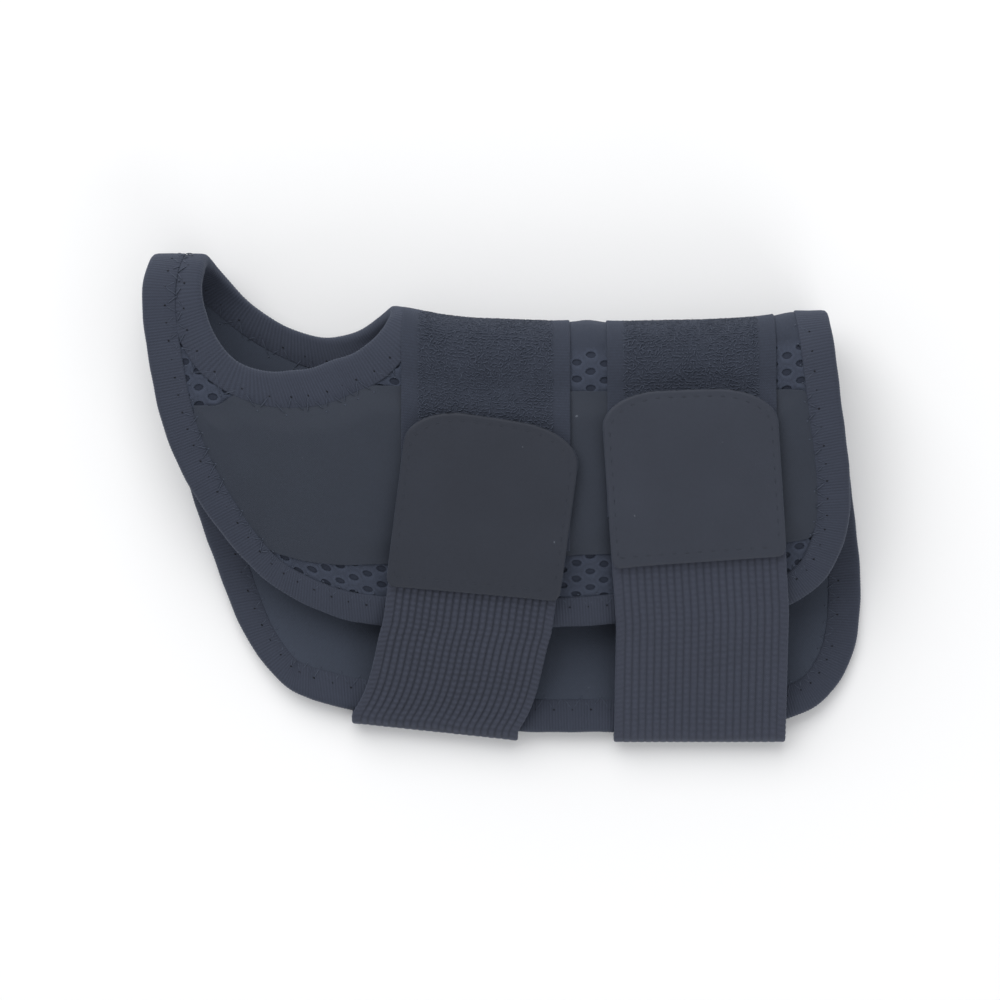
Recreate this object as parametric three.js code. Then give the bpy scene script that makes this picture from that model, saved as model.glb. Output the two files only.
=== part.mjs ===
// A wrist brace lying on a table: a padded wrap cut flat from one sheet and folded over at the thumb side,
// bound along its edges, with a stay panel, two loop strips and two elastic straps that end in hook tabs.
//
// x runs along the forearm (the hand end is negative), y across it (the thumb side is positive), z is up.
// The wrap is drawn flat, before it is folded: x along the fold, and s across it, measured from the fold,
// positive down the front layer and negative down the rear layer. n is the height off the sheet's middle.

import * as THREE from "three";

// Driving dimensions in millimetres, angles in degrees.
const CLEARANCE = 0.3;
const WRAP = { thickness: 3.0, edgeThickness: 1.6, pinchRun: 1.5 };
const BINDING = { width: 8.0, wall: 0.75, round: 0.6, narrowest: 3.6 };
const PANEL = { thickness: 1.2 };
const STRIP = { thickness: 1.3, width: 39.8, ramp: 3.5, rearLength: 29 };
const TAB = { thickness: 1.4, width: 41.5, cornerAcross: 15, cornerAlong: 9 };
const WEBBING = { width: 40.5, thickness: 1.6, sewnUnderTab: 8, stripGap: 5, rearEnd: 16 };

// How finely the cloth is divided: counts, and longest steps in millimetres or degrees.
const FINENESS = {
  spokes: 104,
  rings: 6,
  strapColumns: 4,
  stripColumns: 3,
  panelRows: 5,
  panelStep: 11,
  flatStep: 9,
  foldStep: 3.2,
  wrapAngle: 18,
};

// Levels of the layers, stacked up from the table and out from the middle of the sheet.
const BINDING_HALF = WRAP.edgeThickness / 2 + CLEARANCE + BINDING.wall;
const BINDING_REACH = BINDING.wall + CLEARANCE;
const PANEL_LEVEL = WRAP.thickness / 2 + CLEARANCE;
const STRIP_LEVEL = BINDING_HALF + CLEARANCE / 2;
const RAISED_LEVEL = PANEL_LEVEL + PANEL.thickness + CLEARANCE;
const TAB_LEVEL = RAISED_LEVEL + Math.max(STRIP.thickness, WEBBING.thickness) + CLEARANCE;
const FOLD = { radius: 11, frontBow: 150, rearLevel: WEBBING.thickness + CLEARANCE + BINDING_HALF };
const QUARTER = (FOLD.radius * Math.PI) / 2;

// The middle of the part's box, which becomes the origin.
const BOX_MIDDLE = { x: 0.85, y: -0.35 };

// Where the fold lies: y of the sheet's outermost line at each x. It steps up to the web at the thumb hole.
const WEB = { y: 56.2, fromX: -70 };
const FOLD_LINE = [
  { x: -26, y: 44.3 },
  { x: -12, y: 41.1 },
  { x: 20, y: 40.0 },
  { x: 55, y: 40.7 },
  { x: 80, y: 43.2 },
];

// Finished outer edge of the wrap, down the front layer and back along the rear layer.
const OUTLINE = [
  { x: -83.1, s: 0 },
  { x: -84.8, s: 15 },
  { x: -82.9, s: 32 },
  { x: -79.6, s: 47 },
  { x: -73.6, s: 61 },
  { x: -63.5, s: 75.3 },
  { x: -55.0, s: 81.6 },
  { x: -42.0, s: 83.6 },
  { x: -5.0, s: 80.2 },
  { x: 47.0, s: 76.6 },
  { x: 67.0, s: 75.6 },
  { x: 76.5, s: 69.8 },
  { x: 81.8, s: 58 },
  { x: 82.4, s: 46 },
  { x: 79.6, s: 22 },
  { x: 77.6, s: 0 },
  { x: 80.9, s: -23.6 },
  { x: 84.8, s: -51.5 },
  { x: 86.5, s: -73 },
  { x: 84.2, s: -88.2 },
  { x: 77.4, s: -98 },
  { x: 67.0, s: -102.0 },
  { x: 47.0, s: -103.5 },
  { x: 24.0, s: -102.8 },
  { x: 5.0, s: -103.1 },
  { x: -15.0, s: -102.3 },
  { x: -40.0, s: -103.6 },
  { x: -46.5, s: -104.2 },
  { x: -52.6, s: -103.2 },
  { x: -61.0, s: -95.6 },
  { x: -70.1, s: -74.9 },
  { x: -78.3, s: -48.6 },
  { x: -82.9, s: -26 },
  { x: -84.0, s: -12 },
];

// Finished rim of the thumb hole: its distance from the centre at every 30 degrees from +x towards +s.
const THUMB_HOLE = {
  x: -48.5,
  s: 6,
  radii: [22.0, 18.9, 17.3, 20.7, 27.1, 24.6, 21.7, 22.9, 23.5, 22.9, 22.5, 22.8],
};

// Sewn outline of the stay panel: s of its upper and lower edge at each x.
const PANEL_OUTLINE = [
  { x: -69.6, top: 40.6, bottom: 43.0 },
  { x: -66.8, top: 40.9, bottom: 54.0 },
  { x: -61.4, top: 40.4, bottom: 62.0 },
  { x: -53.4, top: 38.6, bottom: 70.6 },
  { x: -46.7, top: 35.6, bottom: 71.4 },
  { x: -34.8, top: 28.3, bottom: 68.2 },
  { x: -30.0, top: 25.2, bottom: 66.8 },
  { x: -22.0, top: 23.6, bottom: 65.6 },
  { x: 18.5, top: 21.9, bottom: 59.8 },
  { x: 47.0, top: 22.3, bottom: 59.4 },
  { x: 67.0, top: 23.6, bottom: 59.0 },
  { x: 70.4, top: 24.4, bottom: 58.2 },
  { x: 71.6, top: 31.0, bottom: 57.0 },
  { x: 73.0, top: 42.0, bottom: 52.5 },
];

// Padding that stands up between and beside the straps, and dips under them: height, middle and half size.
const PUFFS = [
  { height: 1.1, x: 20.5, s: 50, halfX: 8, halfS: 22 },
  { height: 0.9, x: -52, s: 55, halfX: 16, halfS: 14 },
  { height: -0.6, x: -4, s: 60, halfX: 18, halfS: 22 },
  { height: -0.6, x: 46, s: 55, halfX: 18, halfS: 22 },
];

// The two straps. Tab: its middle line on the front layer, with the turn of its two ends. Wrap: where the
// strap's middle goes round the rear layer's lower edge, with that edge's slope. rearX: its middle where the
// rear end is sewn down.
const STRAPS = [
  {
    name: "hand",
    stripX: -3.7,
    tabTop: { x: -1.1, s: 27.8, turn: 4 },
    tabBottom: { x: -7.2, s: 71.6, turn: 0 },
    leaveS: 78.5,
    wrap: { x: -16.0, y: -54.6, turn: 6 },
    rearX: -19.5,
  },
  {
    name: "forearm",
    stripX: 44.8,
    tabTop: { x: 44.6, s: 21.3, turn: -1 },
    tabBottom: { x: 46.2, s: 62.9, turn: -3 },
    leaveS: 75.2,
    wrap: { x: 47.8, y: -57.0, turn: 0 },
    rearX: 48.0,
  },
];

const COLOURS = {
  mesh: { color: 0x353a46, roughness: 0.95, metalness: 0 },
  binding: { color: 0x424853, roughness: 0.85, metalness: 0 },
  panel: { color: 0x393d48, roughness: 0.8, metalness: 0 },
  loop: { color: 0x3a404b, roughness: 1, metalness: 0 },
  webbing: { color: 0x3a3e4a, roughness: 0.85, metalness: 0 },
  tab: { color: 0x393d47, roughness: 0.7, metalness: 0 },
};

const clamp01 = (value) => THREE.MathUtils.clamp(value, 0, 1);
const radians = THREE.MathUtils.degToRad;

// Value of one column at another's value, straight between rows and level beyond them.
function column(rows, key, at, by = "x") {
  const next = rows.findIndex((row) => row[by] > at);
  if (next === 0) return rows[0][key];
  if (next < 0) return rows[rows.length - 1][key];
  const [before, after] = [rows[next - 1], rows[next]];
  return THREE.MathUtils.mapLinear(at, before[by], after[by], before[key], after[key]);
}

// The fold line, rounded off where its straight stretches meet, with the step up to the web.
function foldY(x) {
  const reach = 7;
  const samples = [-1, -0.5, 0, 0.5, 1];
  const total = samples.reduce((sum, step) => sum + column(FOLD_LINE, "y", x + step * reach), 0);
  const body = total / samples.length;
  return THREE.MathUtils.lerp(WEB.y, body, THREE.MathUtils.smoothstep(x, WEB.fromX, FOLD_LINE[0].x));
}

function puff(x, s) {
  if (s <= 0) return 0;
  return PUFFS.reduce((sum, bump) => {
    const across = (x - bump.x) / bump.halfX;
    const along = (s - bump.s) / bump.halfS;
    return sum + bump.height * Math.exp(-(across * across + along * along));
  }, 0);
}

// The middle of the folded sheet at (x, s) and its outward normal, both in the y-z plane at x.
function sheetAt(x, s) {
  const { radius, frontBow, rearLevel } = FOLD;
  const y = foldY(x) - radius;
  const z = rearLevel + radius;
  const turn = Math.min(Math.abs(s), QUARTER) / radius;
  const side = Math.sign(s) || 1;
  if (Math.abs(s) <= QUARTER) {
    return {
      y: y + radius * Math.cos(turn),
      z: z + side * radius * Math.sin(turn),
      normal: { y: Math.cos(turn), z: side * Math.sin(turn) },
    };
  }
  if (s < 0) return { y: y + s + QUARTER, z: rearLevel, normal: { y: 0, z: -1 } };
  const bow = (s - QUARTER) / frontBow;
  return {
    y: y - frontBow * Math.sin(bow),
    z: z + radius - frontBow * (1 - Math.cos(bow)),
    normal: { y: -Math.sin(bow), z: Math.cos(bow) },
  };
}

function folded(x, s, n) {
  const sheet = sheetAt(x, s);
  const height = n + puff(x, s);
  return new THREE.Vector3(x, sheet.y + height * sheet.normal.y, sheet.z + height * sheet.normal.z);
}

// A closed body through equal sections. A section lists its far face and then its near face backwards,
// so that an end is closed by joining each point to the one opposite it.
function loft(sections, closed) {
  const points = sections.flat();
  const size = sections[0].length;
  const spans = closed ? sections.length : sections.length - 1;
  const faces = [];
  for (let i = 0; i < spans; i++) {
    const here = i * size;
    const next = ((i + 1) % sections.length) * size;
    for (let j = 0; j < size; j++) {
      const k = (j + 1) % size;
      faces.push([here + j, next + j, next + k], [here + j, next + k, here + k]);
    }
  }
  if (!closed) {
    const last = (sections.length - 1) * size;
    for (let j = 0; j < size / 2 - 1; j++) {
      const [a, b, c, d] = [j, j + 1, size - 2 - j, size - 1 - j];
      faces.push([a, b, c], [a, c, d]);
      faces.push([last + a, last + c, last + b], [last + a, last + d, last + c]);
    }
  }
  const volume = faces.reduce((sum, [a, b, c]) => {
    return sum + points[a].dot(new THREE.Vector3().crossVectors(points[b], points[c]));
  }, 0);
  const outward = volume > 0 ? faces : faces.map(([a, b, c]) => [a, c, b]);
  const geometry = new THREE.BufferGeometry().setFromPoints(points);
  geometry.setIndex(outward.flat());
  geometry.computeVertexNormals();
  return geometry;
}

// A flat section of cloth: points across it as { x, s, low, high }, high face first.
function clothSection(points) {
  const high = points.map((point) => folded(point.x, point.s, point.high));
  const low = points.map((point) => folded(point.x, point.s, point.low));
  return [...high, ...low.reverse()];
}

// Even steps from one value to another, both included, none longer than the step.
function steps(from, to, step) {
  const count = Math.max(1, Math.ceil(Math.abs(to - from) / step));
  return Array.from({ length: count + 1 }, (unused, i) => from + ((to - from) * i) / count);
}

// Steps along s that are short round the fold and long on the flat.
function foldSteps(from, to) {
  const { foldStep, flatStep } = FINENESS;
  const bounds = [from, -QUARTER, QUARTER, to].filter((s) => s >= from && s <= to);
  return bounds.slice(1).flatMap((end, i) => {
    const run = steps(bounds[i], end, Math.abs(bounds[i] + end) < QUARTER ? foldStep : flatStep);
    return i === 0 ? run : run.slice(1);
  });
}

// Stations round the finished outer edge, closer together where it runs over the fold. Each has its place
// and the flat direction in towards the cloth.
function edgeStations() {
  const curve = new THREE.CatmullRomCurve3(
    OUTLINE.map((row) => new THREE.Vector3(row.x, row.s, 0)), true, "centripetal");
  const fine = 1600;
  const crowd = 1.1;
  const samples = curve.getSpacedPoints(fine);
  const totals = [0];
  for (let i = 1; i <= fine; i++) {
    const nearFold = Math.exp(-((samples[i].y / QUARTER) ** 2));
    totals.push(totals[i - 1] + 1 + crowd * nearFold);
  }
  return Array.from({ length: FINENESS.spokes }, (unused, i) => {
    const wanted = (totals[fine] * i) / FINENESS.spokes;
    const at = totals.findIndex((total) => total >= wanted) / fine;
    const place = curve.getPointAt(at);
    const along = curve.getTangentAt(at);
    return { x: place.x, s: place.y, in: { x: along.y, s: -along.x } };
  });
}

function rimRadius(angle) {
  const { radii } = THUMB_HOLE;
  const count = radii.length;
  const turn = (angle / (2 * Math.PI)) * count;
  const at = Math.floor(turn);
  const t = turn - at;
  const [a, b, c, d] = [-1, 0, 1, 2].map((step) => radii[(((at + step) % count) + count) % count]);
  return b + 0.5 * t * (c - a + t * (2 * a - 5 * b + 4 * c - d + t * (3 * (b - c) + d - a)));
}

function rimPoint(angle) {
  const radius = rimRadius(angle);
  return { x: THUMB_HOLE.x + radius * Math.cos(angle), s: THUMB_HOLE.s + radius * Math.sin(angle) };
}

// Station on the thumb hole's rim that faces an edge station.
function rimStation(edge) {
  const angle = Math.atan2(edge.s - THUMB_HOLE.s, edge.x - THUMB_HOLE.x);
  const nudge = 0.01;
  const [before, after] = [rimPoint(angle - nudge), rimPoint(angle + nudge)];
  const along = new THREE.Vector2(after.x - before.x, after.s - before.s).normalize();
  return { ...rimPoint(angle), in: { x: along.y, s: -along.x } };
}

// Place on the flat sheet at a distance in from a station.
function inward(station, distance) {
  return { x: station.x + station.in.x * distance, s: station.s + station.in.s * distance };
}

// Width of cloth between an edge station and the rim station that it faces, square to both.
function clothWidth(edge, rim) {
  const across = { x: rim.x - edge.x, s: rim.s - edge.s };
  const squareTo = (station) => Math.abs(across.x * station.in.x + across.s * station.in.s);
  return Math.min(squareTo(edge), squareTo(rim));
}

// Width of the thumb tape: it narrows on the web, where it meets the outer tape.
function thumbTapeWidth(edge, rim) {
  const room = clothWidth(edge, rim) - BINDING.width - 3 * CLEARANCE;
  return THREE.MathUtils.clamp(room, BINDING.narrowest, BINDING.width);
}

// One spoke of the wrap, from its outer edge to the thumb hole: thin under both tapes, full between them.
function wrapSection(edge, rim) {
  const thin = WRAP.edgeThickness / 2;
  const full = WRAP.thickness / 2;
  const rimTape = thumbTapeWidth(edge, rim);
  const room = clothWidth(edge, rim) - BINDING.width - rimTape - 2 * CLEARANCE;
  const run = Math.min(WRAP.pinchRun, room / 3);
  const middle = thin + (full - thin) * clamp01(run / WRAP.pinchRun);
  const outer = [BINDING_REACH, BINDING.width + CLEARANCE, BINDING.width + CLEARANCE + run];
  const inner = [BINDING_REACH, rimTape + CLEARANCE, rimTape + CLEARANCE + run];
  const halves = [thin, thin, middle];
  const fromEdge = outer.map((distance, i) => ({ ...inward(edge, distance), half: halves[i] }));
  const fromRim = inner.map((distance, i) => ({ ...inward(rim, distance), half: halves[i] })).reverse();
  const [start, end] = [fromEdge[2], fromRim[0]];
  const between = Array.from({ length: FINENESS.rings }, (unused, i) => {
    const t = (i + 1) / (FINENESS.rings + 1);
    return {
      x: THREE.MathUtils.lerp(start.x, end.x, t),
      s: THREE.MathUtils.lerp(start.s, end.s, t),
      half: middle,
    };
  });
  const spoke = [...fromEdge, ...between, ...fromRim];
  return clothSection(spoke.map((point) => ({ ...point, low: -point.half, high: point.half })));
}

// One section of tape folded over an edge: outside face, rounded rim, and inside face.
function tapeSection(station, width) {
  const outside = BINDING_HALF;
  const inside = BINDING_HALF - BINDING.wall;
  const { wall, round } = BINDING;
  const profile = [
    { d: width, n: outside },
    { d: round, n: outside },
    { d: 0, n: outside - round },
    { d: 0, n: round - outside },
    { d: round, n: -outside },
    { d: width, n: -outside },
    { d: width, n: -inside },
    { d: wall, n: -inside },
    { d: wall, n: inside },
    { d: width, n: inside },
  ];
  return profile.map(({ d, n }) => {
    const place = inward(station, d);
    return folded(place.x, place.s, n);
  });
}

function wrapShell(edges) {
  return loft(edges.map((edge) => wrapSection(edge, rimStation(edge))), true);
}

function edgeBinding(edges) {
  return loft(edges.map((edge) => tapeSection(edge, BINDING.width)), true);
}

function thumbBinding(edges) {
  return loft(edges.map((edge) => {
    const rim = rimStation(edge);
    return tapeSection(rim, thumbTapeWidth(edge, rim));
  }), true);
}

function stayPanel() {
  const columns = PANEL_OUTLINE.slice(1).flatMap((row, i) => {
    const run = steps(PANEL_OUTLINE[i].x, row.x, FINENESS.panelStep);
    return i === 0 ? run : run.slice(1);
  });
  return loft(columns.map((x) => {
    const top = column(PANEL_OUTLINE, "top", x);
    const bottom = column(PANEL_OUTLINE, "bottom", x);
    const rows = steps(top, bottom, (bottom - top) / FINENESS.panelRows);
    return clothSection(rows.map((s) => {
      return { x, s, low: PANEL_LEVEL, high: PANEL_LEVEL + PANEL.thickness };
    }));
  }), false);
}

// A loop strip over the fold: low on the wrap, raised where it runs onto the stay panel.
function loopStrip(strap) {
  const { stripX } = strap;
  const half = STRIP.width / 2;
  const end = strap.tabBottom.s - WEBBING.sewnUnderTab - WEBBING.stripGap;
  const xs = steps(stripX - half, stripX + half, STRIP.width / FINENESS.stripColumns);
  const panelTop = Math.min(...xs.map((x) => column(PANEL_OUTLINE, "top", x))) - 2 * CLEARANCE;
  const rampStart = panelTop - STRIP.ramp;
  const overFold = foldSteps(-STRIP.rearLength, QUARTER);
  const places = [...overFold, rampStart, ...steps(panelTop, end, FINENESS.flatStep)];
  return loft(places.map((s) => {
    const low = THREE.MathUtils.lerp(STRIP_LEVEL, RAISED_LEVEL, clamp01((s - rampStart) / STRIP.ramp));
    return clothSection(xs.map((x) => ({ x, s, low, high: low + STRIP.thickness })));
  }), false);
}

// Points across a strap on the front layer, at a place on its middle line.
function acrossStrap(strap, s, width) {
  const { tabTop, tabBottom } = strap;
  const middle = THREE.MathUtils.mapLinear(s, tabTop.s, tabBottom.s, tabTop.x, tabBottom.x);
  const turn = radians(THREE.MathUtils.mapLinear(s, tabTop.s, tabBottom.s, tabTop.turn, tabBottom.turn));
  return steps(-width / 2, width / 2, width / FINENESS.strapColumns).map((u) => {
    return { x: middle + u * Math.cos(turn), s: s + u * Math.sin(turn), u };
  });
}

function hookTab(strap) {
  const { cornerAcross, cornerAlong } = TAB;
  const [top, bottom] = [strap.tabTop.s, strap.tabBottom.s];
  const cornerRows = [0.02, 0.12, 0.3, 0.6, 1];
  const places = [...cornerRows.map((part) => top + part * cornerAlong),
    ...steps(top + cornerAlong, bottom, FINENESS.flatStep).slice(1)];
  return loft(places.map((s) => {
    const rise = clamp01((s - top) / cornerAlong);
    const drawnIn = cornerAcross * (1 - Math.sqrt(1 - (1 - rise) ** 2));
    return clothSection(acrossStrap(strap, s, TAB.width - 2 * drawnIn).map((point) => {
      return { ...point, low: TAB_LEVEL, high: TAB_LEVEL + TAB.thickness };
    }));
  }), false);
}

// One lengthwise line of a strap, from under its tab, off the front layer's edge, round the rear layer's
// edge and back along the table: middle points with their outward normals.
function webbingLine(strap, index) {
  const half = WEBBING.thickness / 2;
  const places = steps(strap.tabBottom.s - WEBBING.sewnUnderTab, strap.leaveS, FINENESS.flatStep / 2);
  const line = places.map((s) => {
    const spot = acrossStrap(strap, s, WEBBING.width)[index];
    const { normal } = sheetAt(spot.x, spot.s);
    return {
      point: folded(spot.x, spot.s, RAISED_LEVEL + half),
      normal: new THREE.Vector3(0, normal.y, normal.z),
    };
  });
  const { u } = acrossStrap(strap, strap.leaveS, WEBBING.width)[index];
  const turn = radians(strap.wrap.turn);
  const radius = BINDING_HALF + CLEARANCE + half;
  const hub = { x: strap.wrap.x + u * Math.cos(turn), y: strap.wrap.y - u * Math.sin(turn) + BINDING_HALF };
  const leave = line[line.length - 1].point;
  const reach = { y: leave.y - hub.y, z: leave.z - FOLD.rearLevel };
  const touch = Math.atan2(reach.z, reach.y) + Math.acos(radius / Math.hypot(reach.y, reach.z));
  const centre = new THREE.Vector3(hub.x, hub.y, FOLD.rearLevel);
  const outward = (angle) => new THREE.Vector3(0, Math.cos(angle), Math.sin(angle));
  const onHub = (angle) => centre.clone().addScaledVector(outward(angle), radius);
  line[line.length - 1].normal.add(outward(touch)).normalize();
  const freeParts = [1 / 3, 2 / 3];
  freeParts.forEach((part) => {
    line.push({ point: leave.clone().lerp(onHub(touch), part), normal: outward(touch) });
  });
  const underneath = radians(270);
  steps(touch, underneath, radians(FINENESS.wrapAngle)).forEach((angle) => {
    line.push({ point: onHub(angle), normal: outward(angle) });
  });
  const rearEnd = new THREE.Vector3(strap.rearX + u, WEBBING.rearEnd, half);
  const rearParts = [1 / 3, 2 / 3, 1];
  rearParts.forEach((part) => {
    line.push({ point: onHub(underneath).lerp(rearEnd, part), normal: outward(underneath) });
  });
  return line;
}

function webbing(strap) {
  const half = WEBBING.thickness / 2;
  const count = FINENESS.strapColumns + 1;
  const lines = Array.from({ length: count }, (unused, index) => webbingLine(strap, index));
  return loft(lines[0].map((unused, i) => {
    const off = (line, side) => line[i].point.clone().addScaledVector(line[i].normal, side * half);
    const outer = lines.map((line) => off(line, 1));
    const inner = lines.map((line) => off(line, -1));
    return [...outer, ...inner.reverse()];
  }), false);
}

function piece(name, geometry, finish) {
  const mesh = new THREE.Mesh(geometry, new THREE.MeshStandardMaterial(finish));
  mesh.name = name;
  return mesh;
}

const edges = edgeStations();
const brace = new THREE.Group();
brace.name = "wrist_brace";
brace.position.set(-BOX_MIDDLE.x, -BOX_MIDDLE.y, 0);
brace.add(
  piece("wrap_shell", wrapShell(edges), COLOURS.mesh),
  piece("edge_binding", edgeBinding(edges), COLOURS.binding),
  piece("thumb_binding", thumbBinding(edges), COLOURS.binding),
  piece("stay_panel", stayPanel(), COLOURS.panel),
);
STRAPS.forEach((strap) => {
  brace.add(
    piece(`loop_strip_${strap.name}`, loopStrip(strap), COLOURS.loop),
    piece(`webbing_${strap.name}`, webbing(strap), COLOURS.webbing),
    piece(`hook_tab_${strap.name}`, hookTab(strap), COLOURS.tab),
  );
});

export default brace;
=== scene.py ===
import math

import bpy
import numpy as np
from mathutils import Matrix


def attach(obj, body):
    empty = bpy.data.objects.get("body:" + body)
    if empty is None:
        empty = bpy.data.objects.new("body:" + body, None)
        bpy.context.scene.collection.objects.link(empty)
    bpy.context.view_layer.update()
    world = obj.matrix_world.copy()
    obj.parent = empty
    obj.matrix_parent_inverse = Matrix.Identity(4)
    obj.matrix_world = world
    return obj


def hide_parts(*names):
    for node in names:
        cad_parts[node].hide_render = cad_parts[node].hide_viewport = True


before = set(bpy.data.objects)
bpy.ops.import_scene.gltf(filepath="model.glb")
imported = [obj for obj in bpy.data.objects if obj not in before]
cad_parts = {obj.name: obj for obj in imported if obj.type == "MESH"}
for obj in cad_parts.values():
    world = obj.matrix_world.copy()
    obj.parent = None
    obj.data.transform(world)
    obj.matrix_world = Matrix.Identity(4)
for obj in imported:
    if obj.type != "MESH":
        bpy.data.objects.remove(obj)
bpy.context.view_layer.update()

mm = 0.001
rng = np.random.default_rng(11)

# Tables are in millimetres. The cloth is drawn flat and then folded: x runs along the forearm, s across
# it from the fold (plus is the front layer, minus the rear one), n is the height off the sheet's middle.

fold = {
    "radius": 11.0,
    "frontBow": 150.0,          # radius of the front layer's gentle bow
    "rearLevel": 3.75,          # height of the rear layer's middle over the table
    "droop": 1.7,               # how far the rear layer's two ends come down
    "droopX": ((-72.0, -46.0), (71.0, 84.0)),
    "droopFrom": 5.0,           # s on the front side of the fold where that starts
    "webY": 56.2,
    "webX": -70.0,              # the fold line steps up to the web from its first point to here
    "line": [(-26.0, 44.3), (-12.0, 41.1), (20.0, 40.0), (55.0, 40.7), (80.0, 43.2)],
    "rounding": (-7.0, -3.5, 0.0, 3.5, 7.0),
    "shift": (-0.85, 0.35),     # of the whole cloth in x and y
    "puffFade": (-14.0, -1.0),  # the puffs die out over these s
    # height, x, s, half width in x, half width in s
    "puffs": [
        (1.1, 20.5, 50.0, 8.0, 22.0),
        (0.9, -52.0, 55.0, 16.0, 14.0),
        (-0.6, -4.0, 60.0, 18.0, 22.0),
        (-0.6, 46.0, 55.0, 18.0, 22.0),
        (0.7, 20.5, 3.0, 3.4, 11.0),
        (0.6, 68.6, 3.0, 3.2, 11.0),
    ],
}
quarterTurn = fold["radius"] * math.pi / 2


def foldLine(x):
    lineX, lineY = np.array(fold["line"]).T
    body = np.mean([np.interp(x + step, lineX, lineY) for step in fold["rounding"]], axis=0)
    t = np.clip((x - fold["webX"]) / (lineX[0] - fold["webX"]), 0, 1)
    return fold["webY"] + (body - fold["webY"]) * t * t * (3 - 2 * t)


def smoothStep(value, start, end):
    t = np.clip((value - start) / (end - start), 0, 1)
    return t * t * (3 - 2 * t)


def puffAt(x, s):
    height = np.zeros_like(x)
    for rise, midX, midS, halfX, halfS in fold["puffs"]:
        height += rise * np.exp(-((x - midX) / halfX) ** 2 - ((s - midS) / halfS) ** 2)
    return height * smoothStep(s, *fold["puffFade"])


# beyond the straps that lie under it, the rear layer comes down to the table
def droopAt(x):
    (leftLow, leftHigh), (rightHigh, rightLow) = fold["droopX"]
    return fold["droop"] * (1 - smoothStep(x, leftLow, leftHigh) + smoothStep(x, rightHigh, rightLow))


# direction that a layer faces at s, in y and z
def layerNormal(s):
    turn = np.clip(s / fold["radius"], -math.pi / 2, math.pi / 2)
    bow = np.maximum(s - quarterTurn, 0) / fold["frontBow"]
    return np.cos(turn) * (np.abs(s) < quarterTurn) - np.sin(bow), np.sin(turn) * np.cos(bow)


# flat cloth in mm to its folded place in metres
def foldCloth(flat):
    x, s, n = flat.T
    turn = np.clip(s / fold["radius"], -math.pi / 2, math.pi / 2)
    bow = np.maximum(s - quarterTurn, 0) / fold["frontBow"]
    y = foldLine(x) - fold["radius"] + fold["radius"] * np.cos(turn) + np.minimum(s + quarterTurn, 0)
    y -= fold["frontBow"] * np.sin(bow)
    z = fold["rearLevel"] + fold["radius"] * (1 + np.sin(turn)) - fold["frontBow"] * (1 - np.cos(bow))
    z -= droopAt(x) * smoothStep(-s, -fold["droopFrom"], quarterTurn)
    normalY, normalZ = layerNormal(s)
    height = n + puffAt(x, s)
    shiftX, shiftY = fold["shift"]
    return np.column_stack([x + shiftX, y + height * normalY + shiftY, z + height * normalZ]) * mm


# quarter-round of a border: 0 at the edge, 1 from one radius in
def roundOff(distance, radius):
    return np.sqrt(np.maximum(1 - (1 - np.clip(distance / radius, 0, 1)) ** 2, 0))


# soft unevenness of hand-sewn cloth, about -1 to 1
def ripple(x, s, size, seed):
    waves = np.random.default_rng(seed)
    total = np.zeros_like(x)
    for turn in range(9):
        angle = waves.uniform(0, 2 * math.pi)
        pitch = size * waves.uniform(0.6, 1.7)
        across = x * math.cos(angle) + s * math.sin(angle)
        total += np.sin(2 * math.pi * across / pitch + waves.uniform(0, 2 * math.pi))
    return total / 5


# centripetal Catmull-Rom curve through a closed list of points
def closedCurve(points, perSpan=60):
    b = np.array(points)
    a, c, d = np.roll(b, 1, 0), np.roll(b, -1, 0), np.roll(b, -2, 0)
    spans = ((a, b), (b, c), (c, d))
    gapA, gapB, gapC = (np.sqrt(np.linalg.norm(q - p, axis=1))[:, None] for p, q in spans)
    leave = gapB * ((b - a) / gapA - (c - a) / (gapA + gapB) + (c - b) / gapB)
    arrive = gapB * ((c - b) / gapB - (d - b) / (gapB + gapC) + (d - c) / gapC)
    t = np.linspace(0, 1, perSpan, endpoint=False)[None, :, None]
    curve = (b[:, None] * (2 * t ** 3 - 3 * t ** 2 + 1) + leave[:, None] * (t ** 3 - 2 * t ** 2 + t)
             + c[:, None] * (3 * t ** 2 - 2 * t ** 3) + arrive[:, None] * (t ** 3 - t ** 2))
    return curve.reshape(-1, b.shape[1])


def lengthsAlong(path):
    return np.concatenate([[0], np.cumsum(np.linalg.norm(np.diff(path, axis=0), axis=1))])


# places and inward directions at distances along a closed edge
def edgeAt(curve, distances):
    loop = np.vstack([curve, curve[:1]])
    lengths = lengthsAlong(loop)
    at = np.mod(distances, lengths[-1])
    spots = []
    for step in (-0.4, 0, 0.4):         # just before and after too, for the direction
        there = np.mod(at + step, lengths[-1])
        spots.append(np.column_stack([np.interp(there, lengths, loop[:, k]) for k in (0, 1)]))
    along = spots[2] - spots[0]
    along /= np.linalg.norm(along, axis=1)[:, None]
    return spots[1], np.column_stack([along[:, 1], -along[:, 0]])


def edgeLength(curve):
    return lengthsAlong(np.vstack([curve, curve[:1]]))[-1]


# distance from flat points to the nearest point of a finely drawn line
def distanceTo(line, points):
    nearest = [np.sqrt(((chunk[:, None] - line[None]) ** 2).sum(2).min(1))
               for chunk in np.array_split(points, max(1, len(points) // 4000))]
    return np.concatenate(nearest)


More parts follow.
